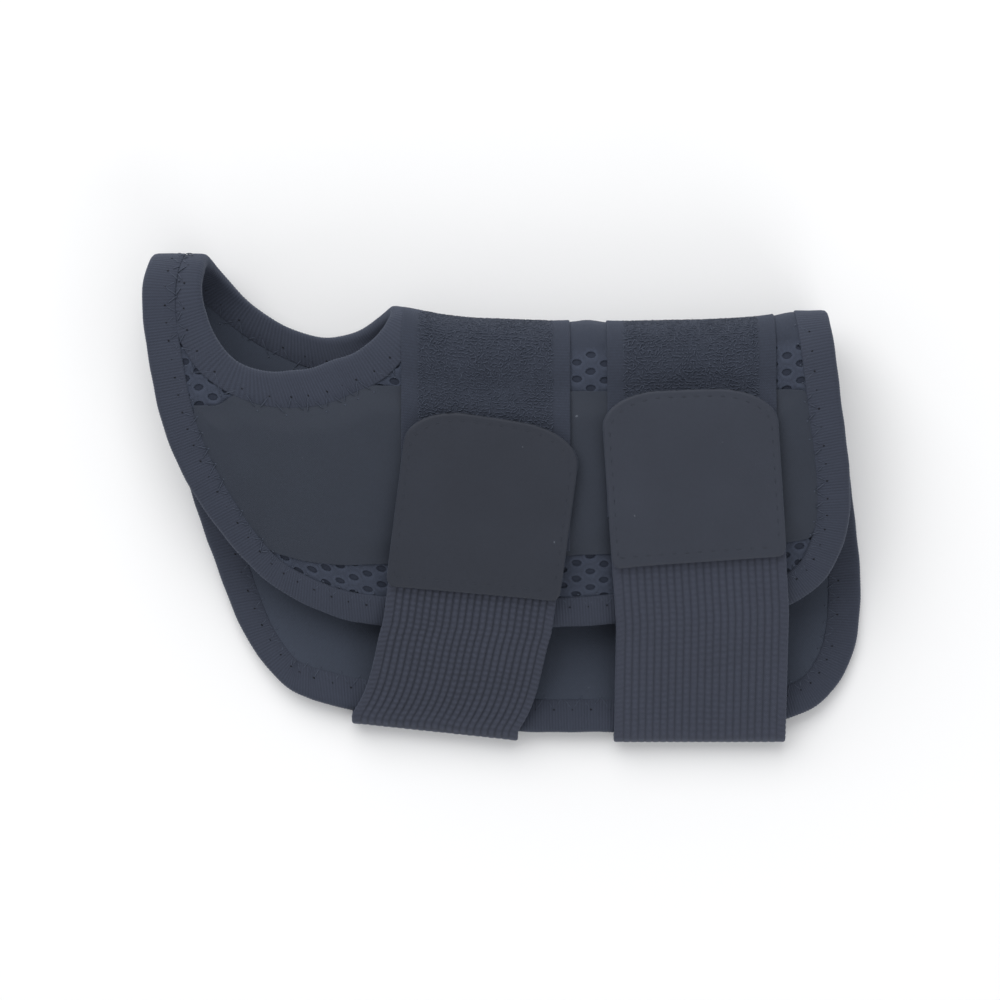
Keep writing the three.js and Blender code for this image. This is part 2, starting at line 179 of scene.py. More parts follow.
# which points lie inside a closed line, by counting crossings
def insideOf(line, points):
    ends = np.roll(line, -1, 0)
    rise = ends[:, 1] - line[:, 1]
    rise = np.where(np.abs(rise) < 1e-9, 1e-9, rise)
    inside = []
    for chunk in np.array_split(points, max(1, len(points) // 4000)):
        x, s = chunk[:, :1], chunk[:, 1:2]
        spans = (line[None, :, 1] > s) != (ends[None, :, 1] > s)
        cross = line[None, :, 0] + (s - line[None, :, 1]) / rise * (ends - line)[None, :, 0]
        inside.append(((spans & (x < cross)).sum(1) % 2) == 1)
    return np.concatenate(inside)


def coordsOf(piece):
    co = np.empty(len(piece.data.vertices) * 3)
    piece.data.vertices.foreach_get("co", co)
    return co.reshape(-1, 3)


def placePoints(piece, co):
    piece.data.vertices.foreach_set("co", co.astype(np.float32).ravel())
    piece.data.update()


# the cloth's own coordinates in mm, which the patterns of its material follow, and a crown value from 0 to
# 1 that the material turns into painted shade: how far a point stands out of the hollows of its knit, 0
# deep and darkest, 1 on a crown
def keepCloth(piece, cloth, crown=None):
    layer = piece.data.attributes.new("cloth", "FLOAT_VECTOR", "POINT")
    layer.data.foreach_set("vector", cloth.astype(np.float32).ravel())
    crown = np.ones(len(cloth)) if crown is None else np.clip(crown, 0, 1)
    depth = piece.data.attributes.new("crown", "FLOAT", "POINT")
    depth.data.foreach_set("value", crown.astype(np.float32))


def makeActive(piece):
    bpy.ops.object.select_all(action="DESELECT")
    piece.select_set(True)
    bpy.context.view_layer.objects.active = piece


# a grid primitive, with the column and row number of each of its points
def startGrid(name, columns, rows):
    bpy.ops.object.select_all(action="DESELECT")
    bpy.ops.mesh.primitive_grid_add(x_subdivisions=columns, y_subdivisions=rows, size=1)
    piece = bpy.context.object
    piece.name = name
    piece.data.name = name
    co = coordsOf(piece)
    column = np.rint((co[:, 0] + 0.5) * columns).astype(int)
    row = np.rint((co[:, 1] + 0.5) * rows).astype(int)
    return piece, column, row


# a sheet with two faces: its columns run over the outer face and back along the inner one
def startSheet(name, across, along):
    count = len(across)
    piece, column, row = startGrid(name, 2 * count - 1, len(along) - 1)
    outer = column < count
    column = np.where(outer, column, 2 * count - 1 - column)
    return piece, across[column], along[row], np.where(outer, 1.0, -1.0)


# places across a width, crowded where the two rounded borders are
def bordered(width, step, edge):
    near = edge * np.array([0, 0.06, 0.25, 0.6])
    inner = np.linspace(edge, width - edge, max(2, math.ceil((width - 2 * edge) / step) + 1))
    return np.concatenate([near, inner, width - near[::-1]])


# merge what meets, turn every face outwards and shade the cloth smooth
def closeSeams(piece, merge=True):
    makeActive(piece)
    bpy.ops.object.mode_set(mode="EDIT")
    bpy.ops.mesh.select_all(action="SELECT")
    if merge:
        bpy.ops.mesh.remove_doubles(threshold=1e-6)
    bpy.ops.mesh.normals_make_consistent(inside=False)
    bpy.ops.object.mode_set(mode="OBJECT")
    bpy.ops.object.shade_smooth()


def addMesh(name, points, faces):
    mesh = bpy.data.meshes.new(name)
    mesh.from_pydata(points, [], faces)
    piece = bpy.data.objects.new(name, mesh)
    bpy.context.scene.collection.objects.link(piece)
    return piece


# copies of one small shape joined in a mesh: each has an origin and its own three axes, in flat mm
def joinCopies(name, shape, origins, axes):
    points = coordsOf(shape)
    total = len(points)
    faces = [tuple(face.vertices) for face in shape.data.polygons]
    flat = (origins[:, None] + np.einsum("pk,ckj->cpj", points, axes)).reshape(-1, 3)
    copied = [tuple(v + i * total for v in face) for i in range(len(origins)) for face in faces]
    piece = addMesh(name, foldCloth(flat), copied)
    cloth = np.tile(points, (len(origins), 1))
    cloth[:, 0] += np.repeat(np.arange(len(origins)) * 7.0, total)   # no two copies share a pattern
    keepCloth(piece, cloth)
    closeSeams(piece, merge=False)
    return piece


def finishPiece(piece, finish, nodes=()):
    if not piece.data.materials:
        piece.data.materials.append(cloths[finish])
    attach(piece, "root")
    if nodes:
        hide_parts(*nodes)
    piece.data.calc_loop_triangles()
    print("made", piece.name, len(piece.data.loop_triangles), "triangles")


# a sheet's points go to their places in metres, and it is closed and handed over
def finishSheet(piece, places, cloth, crown, finish, nodes):
    keepCloth(piece, cloth, crown)
    placePoints(piece, places)
    closeSeams(piece)
    finishPiece(piece, finish, nodes)


# camera and light

view = {"middle": (-1.2, -0.25), "height": 1115.0, "lens": 166.3}

bpy.ops.object.camera_add(location=(view["middle"][0] * mm, view["middle"][1] * mm, view["height"] * mm))
camera = bpy.context.object
camera.data.lens = view["lens"]
camera.data.sensor_width = 36
camera.data.dof.use_dof = False
bpy.context.scene.camera = camera

studio = {
    # name: place, width, watts
    "key_softbox": ((-0.45, 1.15, 1.2), 1.8, 27.0),
    "fill_softbox": ((0.5, -1.05, 0.5), 1.0, 5.0),
    "sky": 0.56,
}


def softbox(name):
    place, width, watts = studio[name]
    aim = np.array(place)
    tilt = math.atan2(math.hypot(aim[0], aim[1]), aim[2])
    turn = math.atan2(aim[1], aim[0]) + math.pi / 2
    bpy.ops.object.light_add(type="AREA", location=place, rotation=(tilt, 0, turn))
    light = bpy.context.object
    light.name = name
    light.data.size = width
    light.data.energy = watts


softbox("key_softbox")
softbox("fill_softbox")
world = bpy.data.worlds.new("studio")
world.use_nodes = True
world.node_tree.nodes["Background"].inputs["Color"].default_value = (0.97, 0.98, 1.0, 1)
world.node_tree.nodes["Background"].inputs["Strength"].default_value = studio["sky"]
bpy.context.scene.world = world
bpy.context.scene.view_settings.view_transform = "Standard"
print("camera and lights set")


# materials

def addNode(tree, kind, inputs=None, **settings):
    node = tree.nodes.new(kind)
    for key, value in settings.items():
        setattr(node, key, value)
    for key, value in (inputs or {}).items():
        if isinstance(value, bpy.types.NodeSocket):
            tree.links.new(value, node.inputs[key])
        else:
            node.inputs[key].default_value = value
    return node


def startGroup(name, inputs, outputs):
    group = bpy.data.node_groups.new(name, "ShaderNodeTree")
    for label, kind in inputs:
        group.interface.new_socket(label, in_out="INPUT", socket_type="NodeSocket" + kind)
    for label, kind in outputs:
        group.interface.new_socket(label, in_out="OUTPUT", socket_type="NodeSocket" + kind)
    return group, group.nodes.new("NodeGroupInput"), group.nodes.new("NodeGroupOutput")


def math2(tree, operation, first, second=0.0):
    node = addNode(tree, "ShaderNodeMath", operation=operation)
    for socket, value in zip(node.inputs, (first, second)):
        if isinstance(value, bpy.types.NodeSocket):
            tree.links.new(value, socket)
        else:
            socket.default_value = value
    return node.outputs["Value"]


# over-and-under threads: an egg-crate of two thread pitches in mm, with uneven yarn
def makeWeaveGroup():
    group, inside, outside = startGroup(
        "fine_weave",
        [("Cloth", "Vector"), ("Across Pitch", "Float"), ("Along Pitch", "Float"), ("Yarn", "Float")],
        [("Height", "Float"), ("Shade", "Float")])
    parts = addNode(group, "ShaderNodeSeparateXYZ", {"Vector": inside.outputs["Cloth"]})
    waves = []
    for axis, pitch in (("X", "Across Pitch"), ("Y", "Along Pitch")):
        turns = math2(group, "DIVIDE", parts.outputs[axis], inside.outputs[pitch])
        waves.append(math2(group, "SINE", math2(group, "MULTIPLY", turns, 2 * math.pi)))
    crate = math2(group, "MULTIPLY", waves[0], waves[1])
    yarn = addNode(group, "ShaderNodeTexNoise", {
        "Vector": inside.outputs["Cloth"], "Scale": 2.6, "Detail": 2.0})
    uneven = math2(group, "SUBTRACT", yarn.outputs["Fac"], 0.5)
    uneven = math2(group, "MULTIPLY", uneven, inside.outputs["Yarn"])
    height = math2(group, "ADD", math2(group, "MULTIPLY_ADD", crate, 0.5), uneven)
    group.links.new(height, outside.inputs["Height"])
    # the same height as a share from 0 to 1, which the materials use for painted shade and highlight
    shade = addNode(group, "ShaderNodeMapRange", {
        "Value": height, "From Min": -0.7, "From Max": 0.7, "To Min": 0.0, "To Max": 1.0})
    group.links.new(shade.outputs["Result"], outside.inputs["Shade"])
    return group


# dye that takes unevenly: broad patches and a fine heathered grain
def makeToneGroup():
    group, inside, outside = startGroup(
        "dyed_tone",
        [("Cloth", "Vector"), ("Color", "Color"), ("Patch", "Float"), ("Grain", "Float")],
        [("Color", "Color"), ("Fleck", "Float")])
    broad = addNode(group, "ShaderNodeTexNoise", {
        "Vector": inside.outputs["Cloth"], "Scale": 0.06, "Detail": 3.0})
    grain = addNode(group, "ShaderNodeTexNoise", {
        "Vector": inside.outputs["Cloth"], "Scale": 1.9, "Detail": 3.0, "Roughness": 0.7})
    factor = 1.0
    for noise, share in ((broad, "Patch"), (grain, "Grain")):
        off = math2(group, "SUBTRACT", noise.outputs["Fac"], 0.5)
        factor = math2(group, "ADD", math2(group, "MULTIPLY", off, inside.outputs[share]), factor)
    toned = addNode(group, "ShaderNodeVectorMath", {0: inside.outputs["Color"], "Scale": factor},
                    operation="SCALE")
    group.links.new(toned.outputs["Vector"], outside.inputs["Color"])
    group.links.new(grain.outputs["Fac"], outside.inputs["Fleck"])
    return group


# pale specks of lint, a few to the square centimetre at most
def makeLintGroup():
    group, inside, outside = startGroup(
        "lint_specks",
        [("Cloth", "Vector"), ("Spread", "Float"), ("Share", "Float")],
        [("Mask", "Float")])
    warp = addNode(group, "ShaderNodeTexNoise", {"Vector": inside.outputs["Cloth"], "Scale": 1.2})
    moved = addNode(group, "ShaderNodeVectorMath", {
        0: warp.outputs["Color"], 1: inside.outputs["Cloth"]}, operation="ADD")
    cells = addNode(group, "ShaderNodeTexVoronoi", {
        "Vector": moved.outputs["Vector"], "Scale": inside.outputs["Spread"]})
    pick = addNode(group, "ShaderNodeSeparateColor", {"Color": cells.outputs["Color"]})
    near = math2(group, "LESS_THAN", cells.outputs["Distance"], 0.05)
    chosen = math2(group, "LESS_THAN", pick.outputs["Red"], inside.outputs["Share"])
    group.links.new(math2(group, "MULTIPLY", near, chosen), outside.inputs["Mask"])
    return group


weaveGroup = makeWeaveGroup()
toneGroup = makeToneGroup()
lintGroup = makeLintGroup()


def linear(red, green, blue):
    return tuple(math.pow((c / 255 + 0.055) / 1.055, 2.4) for c in (red, green, blue)) + (1.0,)


finishes = {
    # colour 0-255, patch, grain, pitches of the weave in mm, yarn, bump depth in mm, roughness, sheen,
    # lint share, painted shade in the hollows of the knit (share of colour taken off at crown 0)
    "mesh_yarn": ((57, 63, 77), 0.2, 0.6, (0.42, 0.42), 1.2, 0.06, 0.85, 0.25, 0.01, 0.45),
    # painted shade: the backing is painted darker than the lining, so that the mesh holes read dark
    "mesh_backing_painted_shade": ((42, 47, 59), 0.2, 0.5, (0.5, 0.5), 1.0, 0.05, 0.95, 0.0, 0.0, 0.0),
    "lining": ((53, 59, 71), 0.25, 0.35, (0.55, 0.7), 0.8, 0.04, 0.8, 0.3, 0.02, 0.0),
    "binding_tape": ((54, 59, 72), 0.2, 0.5, (0.45, 0.55), 0.8, 0.04, 0.8, 0.3, 0.01, 0.25),
    "sewing_thread": ((58, 64, 77), 0.2, 0.5, (0.3, 0.3), 0.5, 0.03, 0.6, 0.25, 0.0, 0.0),
    # painted shade: dark lumps standing in for the shade in the needle holes
    "needle_hole_shade": ((24, 26, 32), 0.2, 0.5, (0.3, 0.3), 0.5, 0.02, 0.9, 0.0, 0.0, 0.0),
    "tab_thread": ((44, 48, 57), 0.2, 0.5, (0.3, 0.3), 0.5, 0.03, 0.6, 0.25, 0.0, 0.0),
    "panel_cloth": ((44, 49, 59), 0.25, 0.35, (0.42, 0.55), 0.7, 0.035, 0.7, 0.35, 0.14, 0.0),
    "loop_ground": ((50, 55, 67), 0.25, 0.6, (0.5, 0.5), 1.0, 0.05, 0.9, 0.25, 0.02, 0.3),
    "loop_pile": ((57, 63, 76), 0.2, 0.8, (0.3, 0.3), 0.5, 0.02, 0.75, 0.3, 0.0, 0.0),
    "elastic_webbing": ((57, 61, 74), 0.2, 0.6, (0.58, 0.52), 0.9, 0.05, 0.75, 0.3, 0.01, 0.5),
    "hook_tab": ((47, 51, 61), 0.25, 0.35, (0.4, 0.5), 0.6, 0.03, 0.62, 0.3, 0.2, 0.25),
}
lintColour = linear(84, 89, 98)
lintSpread = 0.28
weavePaintedShade = (0.76, 1.14)       # painted shade in a hollow between threads and painted highlight on a thread's crown
fleckRough = 0.12               # the roughness varies this much with the heathered grain
sheenTint = linear(150, 160, 182)


def makeMaterial(name):
    colour, patch, grain, pitches, yarn, depth, roughness, sheen, lintShare, hollowPaintedShade = finishes[name]
    material = bpy.data.materials.new(name)
    material.use_nodes = True
    tree = material.node_tree
    shader = tree.nodes["Principled BSDF"]
    cloth = addNode(tree, "ShaderNodeAttribute", attribute_name="cloth").outputs["Vector"]
    tone = addNode(tree, "ShaderNodeGroup", node_tree=toneGroup)
    weave = addNode(tree, "ShaderNodeGroup", node_tree=weaveGroup)
    for node, values in ((tone, {"Color": linear(*colour), "Patch": patch, "Grain": grain}),
                         (weave, {"Across Pitch": pitches[0], "Along Pitch": pitches[1], "Yarn": yarn})):
        tree.links.new(cloth, node.inputs["Cloth"])
        for label, value in values.items():
            node.inputs[label].default_value = value
    # painted shade and highlight: the hollows between threads and between ribs are painted darker than
    # their crowns
    hollow = addNode(tree, "ShaderNodeMapRange", {
        "Value": weave.outputs["Shade"], "To Min": weavePaintedShade[0], "To Max": weavePaintedShade[1]})
    shade = hollow.outputs["Result"]
    # painted shade from the crown attribute: the lower a point's crown, the darker its colour
    if hollowPaintedShade:
        crown = addNode(tree, "ShaderNodeAttribute", attribute_name="crown").outputs["Fac"]
        lit = addNode(tree, "ShaderNodeMapRange", {
            "Value": crown, "To Min": 1 - hollowPaintedShade, "To Max": 1.0})
        shade = math2(tree, "MULTIPLY", shade, lit.outputs["Result"])
    shaded = addNode(tree, "ShaderNodeVectorMath", {0: tone.outputs["Color"], "Scale": shade},
                     operation="SCALE")
    base = shaded.outputs["Vector"]
    if lintShare:
        lint = addNode(tree, "ShaderNodeGroup", node_tree=lintGroup)
        tree.links.new(cloth, lint.inputs["Cloth"])
        lint.inputs["Spread"].default_value = lintSpread
        lint.inputs["Share"].default_value = lintShare
        mixed = addNode(tree, "ShaderNodeMix", {0: lint.outputs["Mask"], 6: base, 7: lintColour},
                        data_type="RGBA")
        base = mixed.outputs[2]
    tree.links.new(base, shader.inputs["Base Color"])
    rough = addNode(tree, "ShaderNodeMapRange", {
        "Value": tone.outputs["Fleck"],
        "To Min": roughness - fleckRough, "To Max": min(roughness + fleckRough, 1.0)})
    tree.links.new(rough.outputs["Result"], shader.inputs["Roughness"])
    bump = addNode(tree, "ShaderNodeBump", {
        "Height": weave.outputs["Height"], "Distance": depth * mm, "Strength": 1.0})
    tree.links.new(bump.outputs["Normal"], shader.inputs["Normal"])
    shader.inputs["Specular IOR Level"].default_value = 0.25
    shader.inputs["Sheen Weight"].default_value = sheen
    shader.inputs["Sheen Roughness"].default_value = 0.45
    shader.inputs["Sheen Tint"].default_value = sheenTint
    return material


cloths = {name: makeMaterial(name) for name in finishes}
print("materials ready:", len(cloths))


# wrap: one padded cut with a thumb hole, smooth inside, spacer mesh outside

wrap = {
    "thin": 0.8,                # half thickness under the tapes, and of the outer ground under the mesh
    "full": 1.7,
    "inset": 1.05,              # the cut edge lies inside its tape
    "ground": 1.08,             # level of the outer ground under the open mesh
    "backingDrop": 0.15,        # that ground lies this much lower at the tapes
    "pinch": (4.5, 6.3),        # it gains its thickness between these distances from an edge
    "uneven": (0.16, 24.0),     # height and size of the ripples inside
    "unevenRoom": (8.0, 15.0),  # which start between these distances from an edge
    "stations": 340,
    "rings": 46,
    "crowding": 0.35,           # of the rings, towards both edges
    # finished outer edge, x and s, down the front layer and back along the rear one
    "outline": [
        (-83.1, 0), (-84.8, 15), (-82.9, 32), (-79.6, 47), (-73.6, 61), (-63.5, 75.3), (-55.0, 81.6),
        (-42.0, 83.6), (-5.0, 80.2), (47.0, 76.6), (67.0, 75.6), (76.5, 69.8), (81.8, 58), (82.4, 46),
        (79.6, 22), (77.6, 0), (80.9, -23.6), (84.8, -51.5), (86.5, -73), (84.2, -88.2), (77.4, -98),
        (67.0, -102.0), (47.0, -103.5), (24.0, -102.8), (5.0, -103.1), (-15.0, -102.3), (-40.0, -103.6),
        (-46.5, -104.2), (-52.6, -103.2), (-61.0, -95.6), (-70.1, -74.9), (-78.3, -48.6), (-82.9, -26),
        (-84.0, -12),
    ],
    "thumb": (-48.5, 6.0),
    # radius of the thumb hole every 30 degrees, from +x towards +s
    "thumbRadii": [22.0, 18.9, 17.3, 20.7, 27.1, 24.6, 21.7, 22.9, 23.5, 22.9, 22.5, 22.8],
}


def rimRadius(angle):
    radii = np.array(wrap["thumbRadii"])
    turn = np.mod(angle, 2 * math.pi) / (2 * math.pi) * len(radii)
    at = np.floor(turn).astype(int)
    t = turn - at
    a, b, c, d = (radii[(at + step) % len(radii)] for step in (-1, 0, 1, 2))
    return b + 0.5 * t * (c - a + t * (2 * a - 5 * b + 4 * c - d + t * (3 * (b - c) + d - a)))


def rimPlace(angle):
    reach = rimRadius(angle)
    return wrap["thumb"] + np.column_stack([reach * np.cos(angle), reach * np.sin(angle)])


def angleFromThumb(places):
    return np.arctan2(places[:, 1] - wrap["thumb"][1], places[:, 0] - wrap["thumb"][0])


edgeCurve = closedCurve(wrap["outline"])
rimCurve = rimPlace(np.linspace(0, 2 * math.pi, 720, endpoint=False))


# how far places on the wrap are from the nearest edge, the outer one or the thumb hole's
def roomTo(places, every=1):
    return np.minimum(distanceTo(edgeCurve[::every], places), distanceTo(rimCurve[::every], places))


# 0 under a tape, 1 where the cloth has its full thickness
def fullness(room):
    return smoothStep(room, *wrap["pinch"])


def makeWrap():
    stations, rings = wrap["stations"], wrap["rings"]
    piece, column, row = startGrid("wrap_lining", stations, 2 * rings)
    edge, edgeIn = edgeAt(edgeCurve, np.arange(stations) / stations * edgeLength(edgeCurve))
    angle = angleFromThumb(edge)
    rim = rimPlace(angle)
    rimAlong = rimPlace(angle + 0.01) - rimPlace(angle - 0.01)
    rimAlong /= np.linalg.norm(rimAlong, axis=1)[:, None]
    start = edge + edgeIn * wrap["inset"]
    end = rim + np.column_stack([rimAlong[:, 1], -rimAlong[:, 0]]) * wrap["inset"]
    outer = row <= rings
    ring = np.where(outer, row, 2 * rings - row) / rings
    ring = ring - wrap["crowding"] * np.sin(2 * math.pi * ring) / (2 * math.pi)
    station = column % stations
    places = start[station] + (end - start)[station] * ring[:, None]
    room = roomTo(places)
    full = fullness(room)
    padding = wrap["thin"] + (wrap["full"] - wrap["thin"]) * full
    height, size = wrap["uneven"]
    uneven = height * smoothStep(room, *wrap["unevenRoom"])
    padding = padding + uneven * ripple(places[:, 0], places[:, 1], size, 3)
    edgeGround = wrap["thin"] - wrap["backingDrop"]
    ground = edgeGround + (wrap["ground"] - edgeGround) * full
    border = (ring == 0) | (ring == 1)
    n = np.where(border, 0, np.where(outer, ground, -padding))
    flat = np.column_stack([places, n])
    # the outer ground shows only through the mesh; its colour is painted darker than the lining, as painted
    # shade in the mesh holes
    piece.data.materials.append(cloths["lining"])
    piece.data.materials.append(cloths["mesh_backing_painted_shade"])
    for face in piece.data.polygons:
        face.material_index = 1 if all(outer[v] for v in face.vertices) else 0
    finishSheet(piece, foldCloth(flat), flat, None, "lining", ["wrap_shell"])
    return piece


wrapPiece = makeWrap()


# stay cover: smooth cloth over the stiff stay of the front layer
# its border is drawn first, because the mesh stops under it

stay = {
    "low": 1.55,                # level of its underside
    "border": 0.35,             # thickness at the turned border
    "middle": 1.35,             # thickness over the stay
    "swell": 7.0,               # it swells over this width
    "edge": 0.4,                # radius of the turned border
    "step": 0.9,
    "tapeRoom": 7.2,            # its border goes under the tapes, this far from the taped edges
    "tuck": (0.25, 7.3, 9.0),   # how much lower it lies there, and out to which distances from an edge
    "length": 42.0,             # across the forearm, for the spacing of its points
    # x, top and bottom in s, before the tapes limit them
    "outline": [
        (-72.6, 40.6, 60.0), (-66.8, 40.6, 66.0), (-64.0, 38.0, 70.0), (-53.6, 30.0, 72.6),
        (-46.7, 26.0, 71.6), (-34.8, 24.6, 68.2), (-30.0, 24.2, 66.8), (-22.0, 23.2, 65.6),
        (18.5, 21.3, 59.8), (47.0, 21.6, 59.4), (67.0, 22.6, 59.0), (71.0, 23.2, 58.8),
        (74.0, 23.8, 58.2), (75.5, 24.0, 56.0),
    ],
}


# the rows above, drawn in to the borders of the tapes
def stayRows():
    rows = np.array(stay["outline"])
    x = np.linspace(rows[0, 0], rows[-1, 0], 140)
    s = np.arange(15, 80, 0.25)
    grid = np.array([(a, b) for a in x for b in s])
    room = roomTo(grid, every=4).reshape(len(x), len(s))
    top, bottom = (np.interp(x, rows[:, 0], rows[:, k]) for k in (1, 2))
    for i in range(len(x)):
        blocked = s[room[i] < stay["tapeRoom"]]
        middle = s[np.argmax(np.where((s > 36) & (s < 56), room[i], 0))]
        top[i] = max(top[i], blocked[blocked < middle].max(initial=0))
        bottom[i] = min(bottom[i], blocked[blocked > middle].min(initial=99))
    return x, top, np.maximum(bottom, top + 0.3)


stayX, stayTop, stayLow = stayRows()


def stayEdges(x):
    steps = (-1.0, -0.5, 0, 0.5, 1.0)
    return tuple(np.mean([np.interp(x + step, stayX, line) for step in steps], axis=0)
                 for line in (stayTop, stayLow))


def stayOutline():
    x = np.linspace(stayX[0], stayX[-1], 360)
    top, bottom = stayEdges(x)
    left = np.linspace(top[0], bottom[0], 8)[1:-1]
    right = np.linspace(bottom[-1], top[-1], 30)[1:-1]
    return np.vstack([np.column_stack([x[::-1], top[::-1]]), np.column_stack([np.full(6, x[0]), left]),
                      np.column_stack([x, bottom]), np.column_stack([np.full(28, x[-1]), right])])


stayBorder = stayOutline()

# spacer mesh: oval holes on a staggered grid, each with a raised rim

spacer = {
    "columnStep": 3.3,
    "holeStep": 3.95,           # along one column
    "columns": (-29, 30),
    "rows": (-29, 25),
    "start": (-2.06, 1.2),
    "skew": 0.043,              # it is cut a little off its grain
    "skewFrom": 17.7,           # x where the skew leaves the columns in place
    "hole": (1.22, 0.8),        # half width in x and in s
    "ringSizes": (1.22, 1.0, 0.93),
    "crown": 1.52,              # level of the yarn round a hole
    "valley": 1.36,             # level where two cells meet
    "lip": 1.36,
    "floor": 1.04,
    "shades": (0.62, 1.0, 0.8, 0.5),    # painted shade where two cells meet, on the crown, on the lip and on a hole's floor
    # painted shade on the plain knit along the fold, darkening the fold's top
    "plainPaintedShade": 0.3,
    "plainFold": (11.5, 13.4),  # the holes open between these distances from the fold
    "hiddenRoom": 5.0,          # cells this far under the stay cover are left out
    "sink": 0.6,                # the rest of what it covers is pressed down
    "edgeRoom": 4.5,            # no cells nearer to an edge than this
    "underTape": 0.93,          # level under the tapes
    "wander": 0.09,
}


# round the fold the outside is longer than the middle of the sheet that s is counted on
def onSheet(outside):
    stretch = 1 + spacer["crown"] / fold["radius"]
    places = outside.copy()
    bent = np.minimum(np.abs(outside[..., 1]), quarterTurn * stretch)
    places[..., 1] -= np.sign(outside[..., 1]) * bent * (1 - 1 / stretch)
    return places


def makeSpacerMesh():
    stepX, stepS = spacer["columnStep"], spacer["holeStep"]
    corner = (stepX ** 2 - stepS ** 2 / 4) / (2 * stepX)
    corners = np.array([(stepX - corner, 0), (corner, stepS / 2), (-corner, stepS / 2),
                        (corner - stepX, 0), (-corner, -stepS / 2), (corner, -stepS / 2)])
    cell = np.stack([corners, (corners + np.roll(corners, -1, 0)) / 2], 1).reshape(-1, 2)
    angle = np.arctan2(cell[:, 1] / spacer["hole"][1], cell[:, 0] / spacer["hole"][0])
    oval = np.column_stack([np.cos(angle), np.sin(angle)]) * spacer["hole"]
    grid = np.array([(i * stepX, (j + 0.5 * (i % 2)) * stepS)
                     for i in range(*spacer["columns"]) for j in range(*spacer["rows"])]) + spacer["start"]
    grid[:, 1] += spacer["skew"] * (grid[:, 0] - spacer["skewFrom"])
    cell[:, 1] += spacer["skew"] * cell[:, 0]
    middles = onSheet(grid)
    keep = insideOf(edgeCurve, middles) & ~insideOf(rimCurve, middles)
    keep &= roomTo(middles) > spacer["edgeRoom"]
    hidden = insideOf(stayBorder, middles) & (distanceTo(stayBorder, middles) > spacer["hiddenRoom"])
    grid, middles = grid[keep & ~hidden], middles[keep & ~hidden]
    sides = len(cell)
    # the knit is plain along the fold: there the rings of a hole close up on its middle
    opened = smoothStep(np.abs(middles[:, 1]), *spacer["plainFold"])
    opened = np.tile(opened[:, None, None], (1, sides, 1))
    shapes = [cell] + [oval * size for size in spacer["ringSizes"]]
    points, crown = [], []
    for shape, level, shade in zip(shapes, ("valley", "crown", "lip", "floor"), spacer["shades"]):
        outerRing = level == "valley"
        spots = onSheet(grid[:, None] + shape[None] * (1 if outerRing else opened))
        here = smoothStep(np.abs(spots[:, :, 1:]), *spacer["plainFold"]) if outerRing else opened
        height = spacer["crown"] + (spacer[level] - spacer["crown"]) * here
        points.append(np.concatenate([spots, height], 2))
        # painted shade of each ring, fading to the plain fold's painted shade
        crown.append(spacer["plainPaintedShade"] + (shade - spacer["plainPaintedShade"]) * here[:, :, 0])
    points = np.concatenate(points, 1).reshape(-1, 3)
    crown = np.concatenate(crown, 1).ravel()
    covered = np.where(insideOf(stayBorder, points[:, :2]), distanceTo(stayBorder, points[:, :2]), 0)
    points[:, 2] -= spacer["sink"] * smoothStep(covered, 0.2, 1.2)
    wander = np.column_stack([ripple(points[:, 0], points[:, 1], size, seed)
                              for size, seed in ((3.4, 5), (3.7, 6))])
    points[:, :2] += spacer["wander"] * wander
    pressed = spacer["underTape"]
    full = fullness(roomTo(points[:, :2]))
    points[:, 2] = np.minimum(points[:, 2], pressed + (points[:, 2] - pressed) * full)
    quads = []
    for band in range(3):
        for k in range(sides):
            after = (k + 1) % sides
            quads.append((band * sides + k, band * sides + after,
                          (band + 1) * sides + after, (band + 1) * sides + k))
    quads = np.array(quads)
    total = 4 * sides
    faces = (np.arange(len(grid))[:, None, None] * total + quads[None]).reshape(-1, 4)
    piece = addMesh("spacer_mesh", foldCloth(points), faces.tolist())
    keepCloth(piece, points, crown)
    closeSeams(piece)
    finishPiece(piece, "mesh_yarn")
    return piece


meshPiece = makeSpacerMesh()


# level of the cover's underside, and how far the stay swells it
def stayLevel(places, border):
    drop, start, end = stay["tuck"]
    low = stay["low"] - drop * (1 - smoothStep(roomTo(places), start, end))
    swell = (stay["middle"] - stay["border"]) * smoothStep(border, 0.3, stay["swell"])
    return low, swell + 0.1 * smoothStep(border, 1.0, 7) * ripple(places[:, 0], places[:, 1], 26, 8)


def makeStayCover():
    along = stayX[0] + bordered(stayX[-1] - stayX[0], stay["step"], stay["edge"])
    across = bordered(stay["length"], stay["step"], stay["edge"]) / stay["length"]
    piece, part, x, side = startSheet("stay_cover", across, along)
    top, bottom = stayEdges(x)
    places = np.column_stack([x, top + (bottom - top) * part])
    border = distanceTo(stayBorder, places)
    ends = (part == 0) | (part == 1) | (x == along[0]) | (x == along[-1])
    border = np.where(ends, 0, border)
    rise = roundOff(border, stay["edge"])
    low, swell = stayLevel(places, border)
    half = stay["border"] / 2
    n = low + half + np.where(side > 0, rise * half + swell, -rise * half)
    flat = np.column_stack([places, n])
    finishSheet(piece, foldCloth(flat), flat, None, "panel_cloth", ["stay_panel"])
    return piece


stayPiece = makeStayCover()


# binding tapes: ribbed across, folded over the cut edge

tape = {
    "width": 8.0,
    "narrowest": 3.0,
    "outside": 1.85,            # level of the outer faces
    "inside": 0.98,
    "rim": 1.6,                 # how far in the folded edge is round
    "ribPitch": 0.7,
    "ribHeight": 0.05,
    "perRib": 4,
    "overlap": 0.5,             # of the two tapes on the web
    "tuck": 0.35,               # the narrowed border lies this much lower there
    "wave": (0.05, 9.7),        # height and length of its slow waves
}


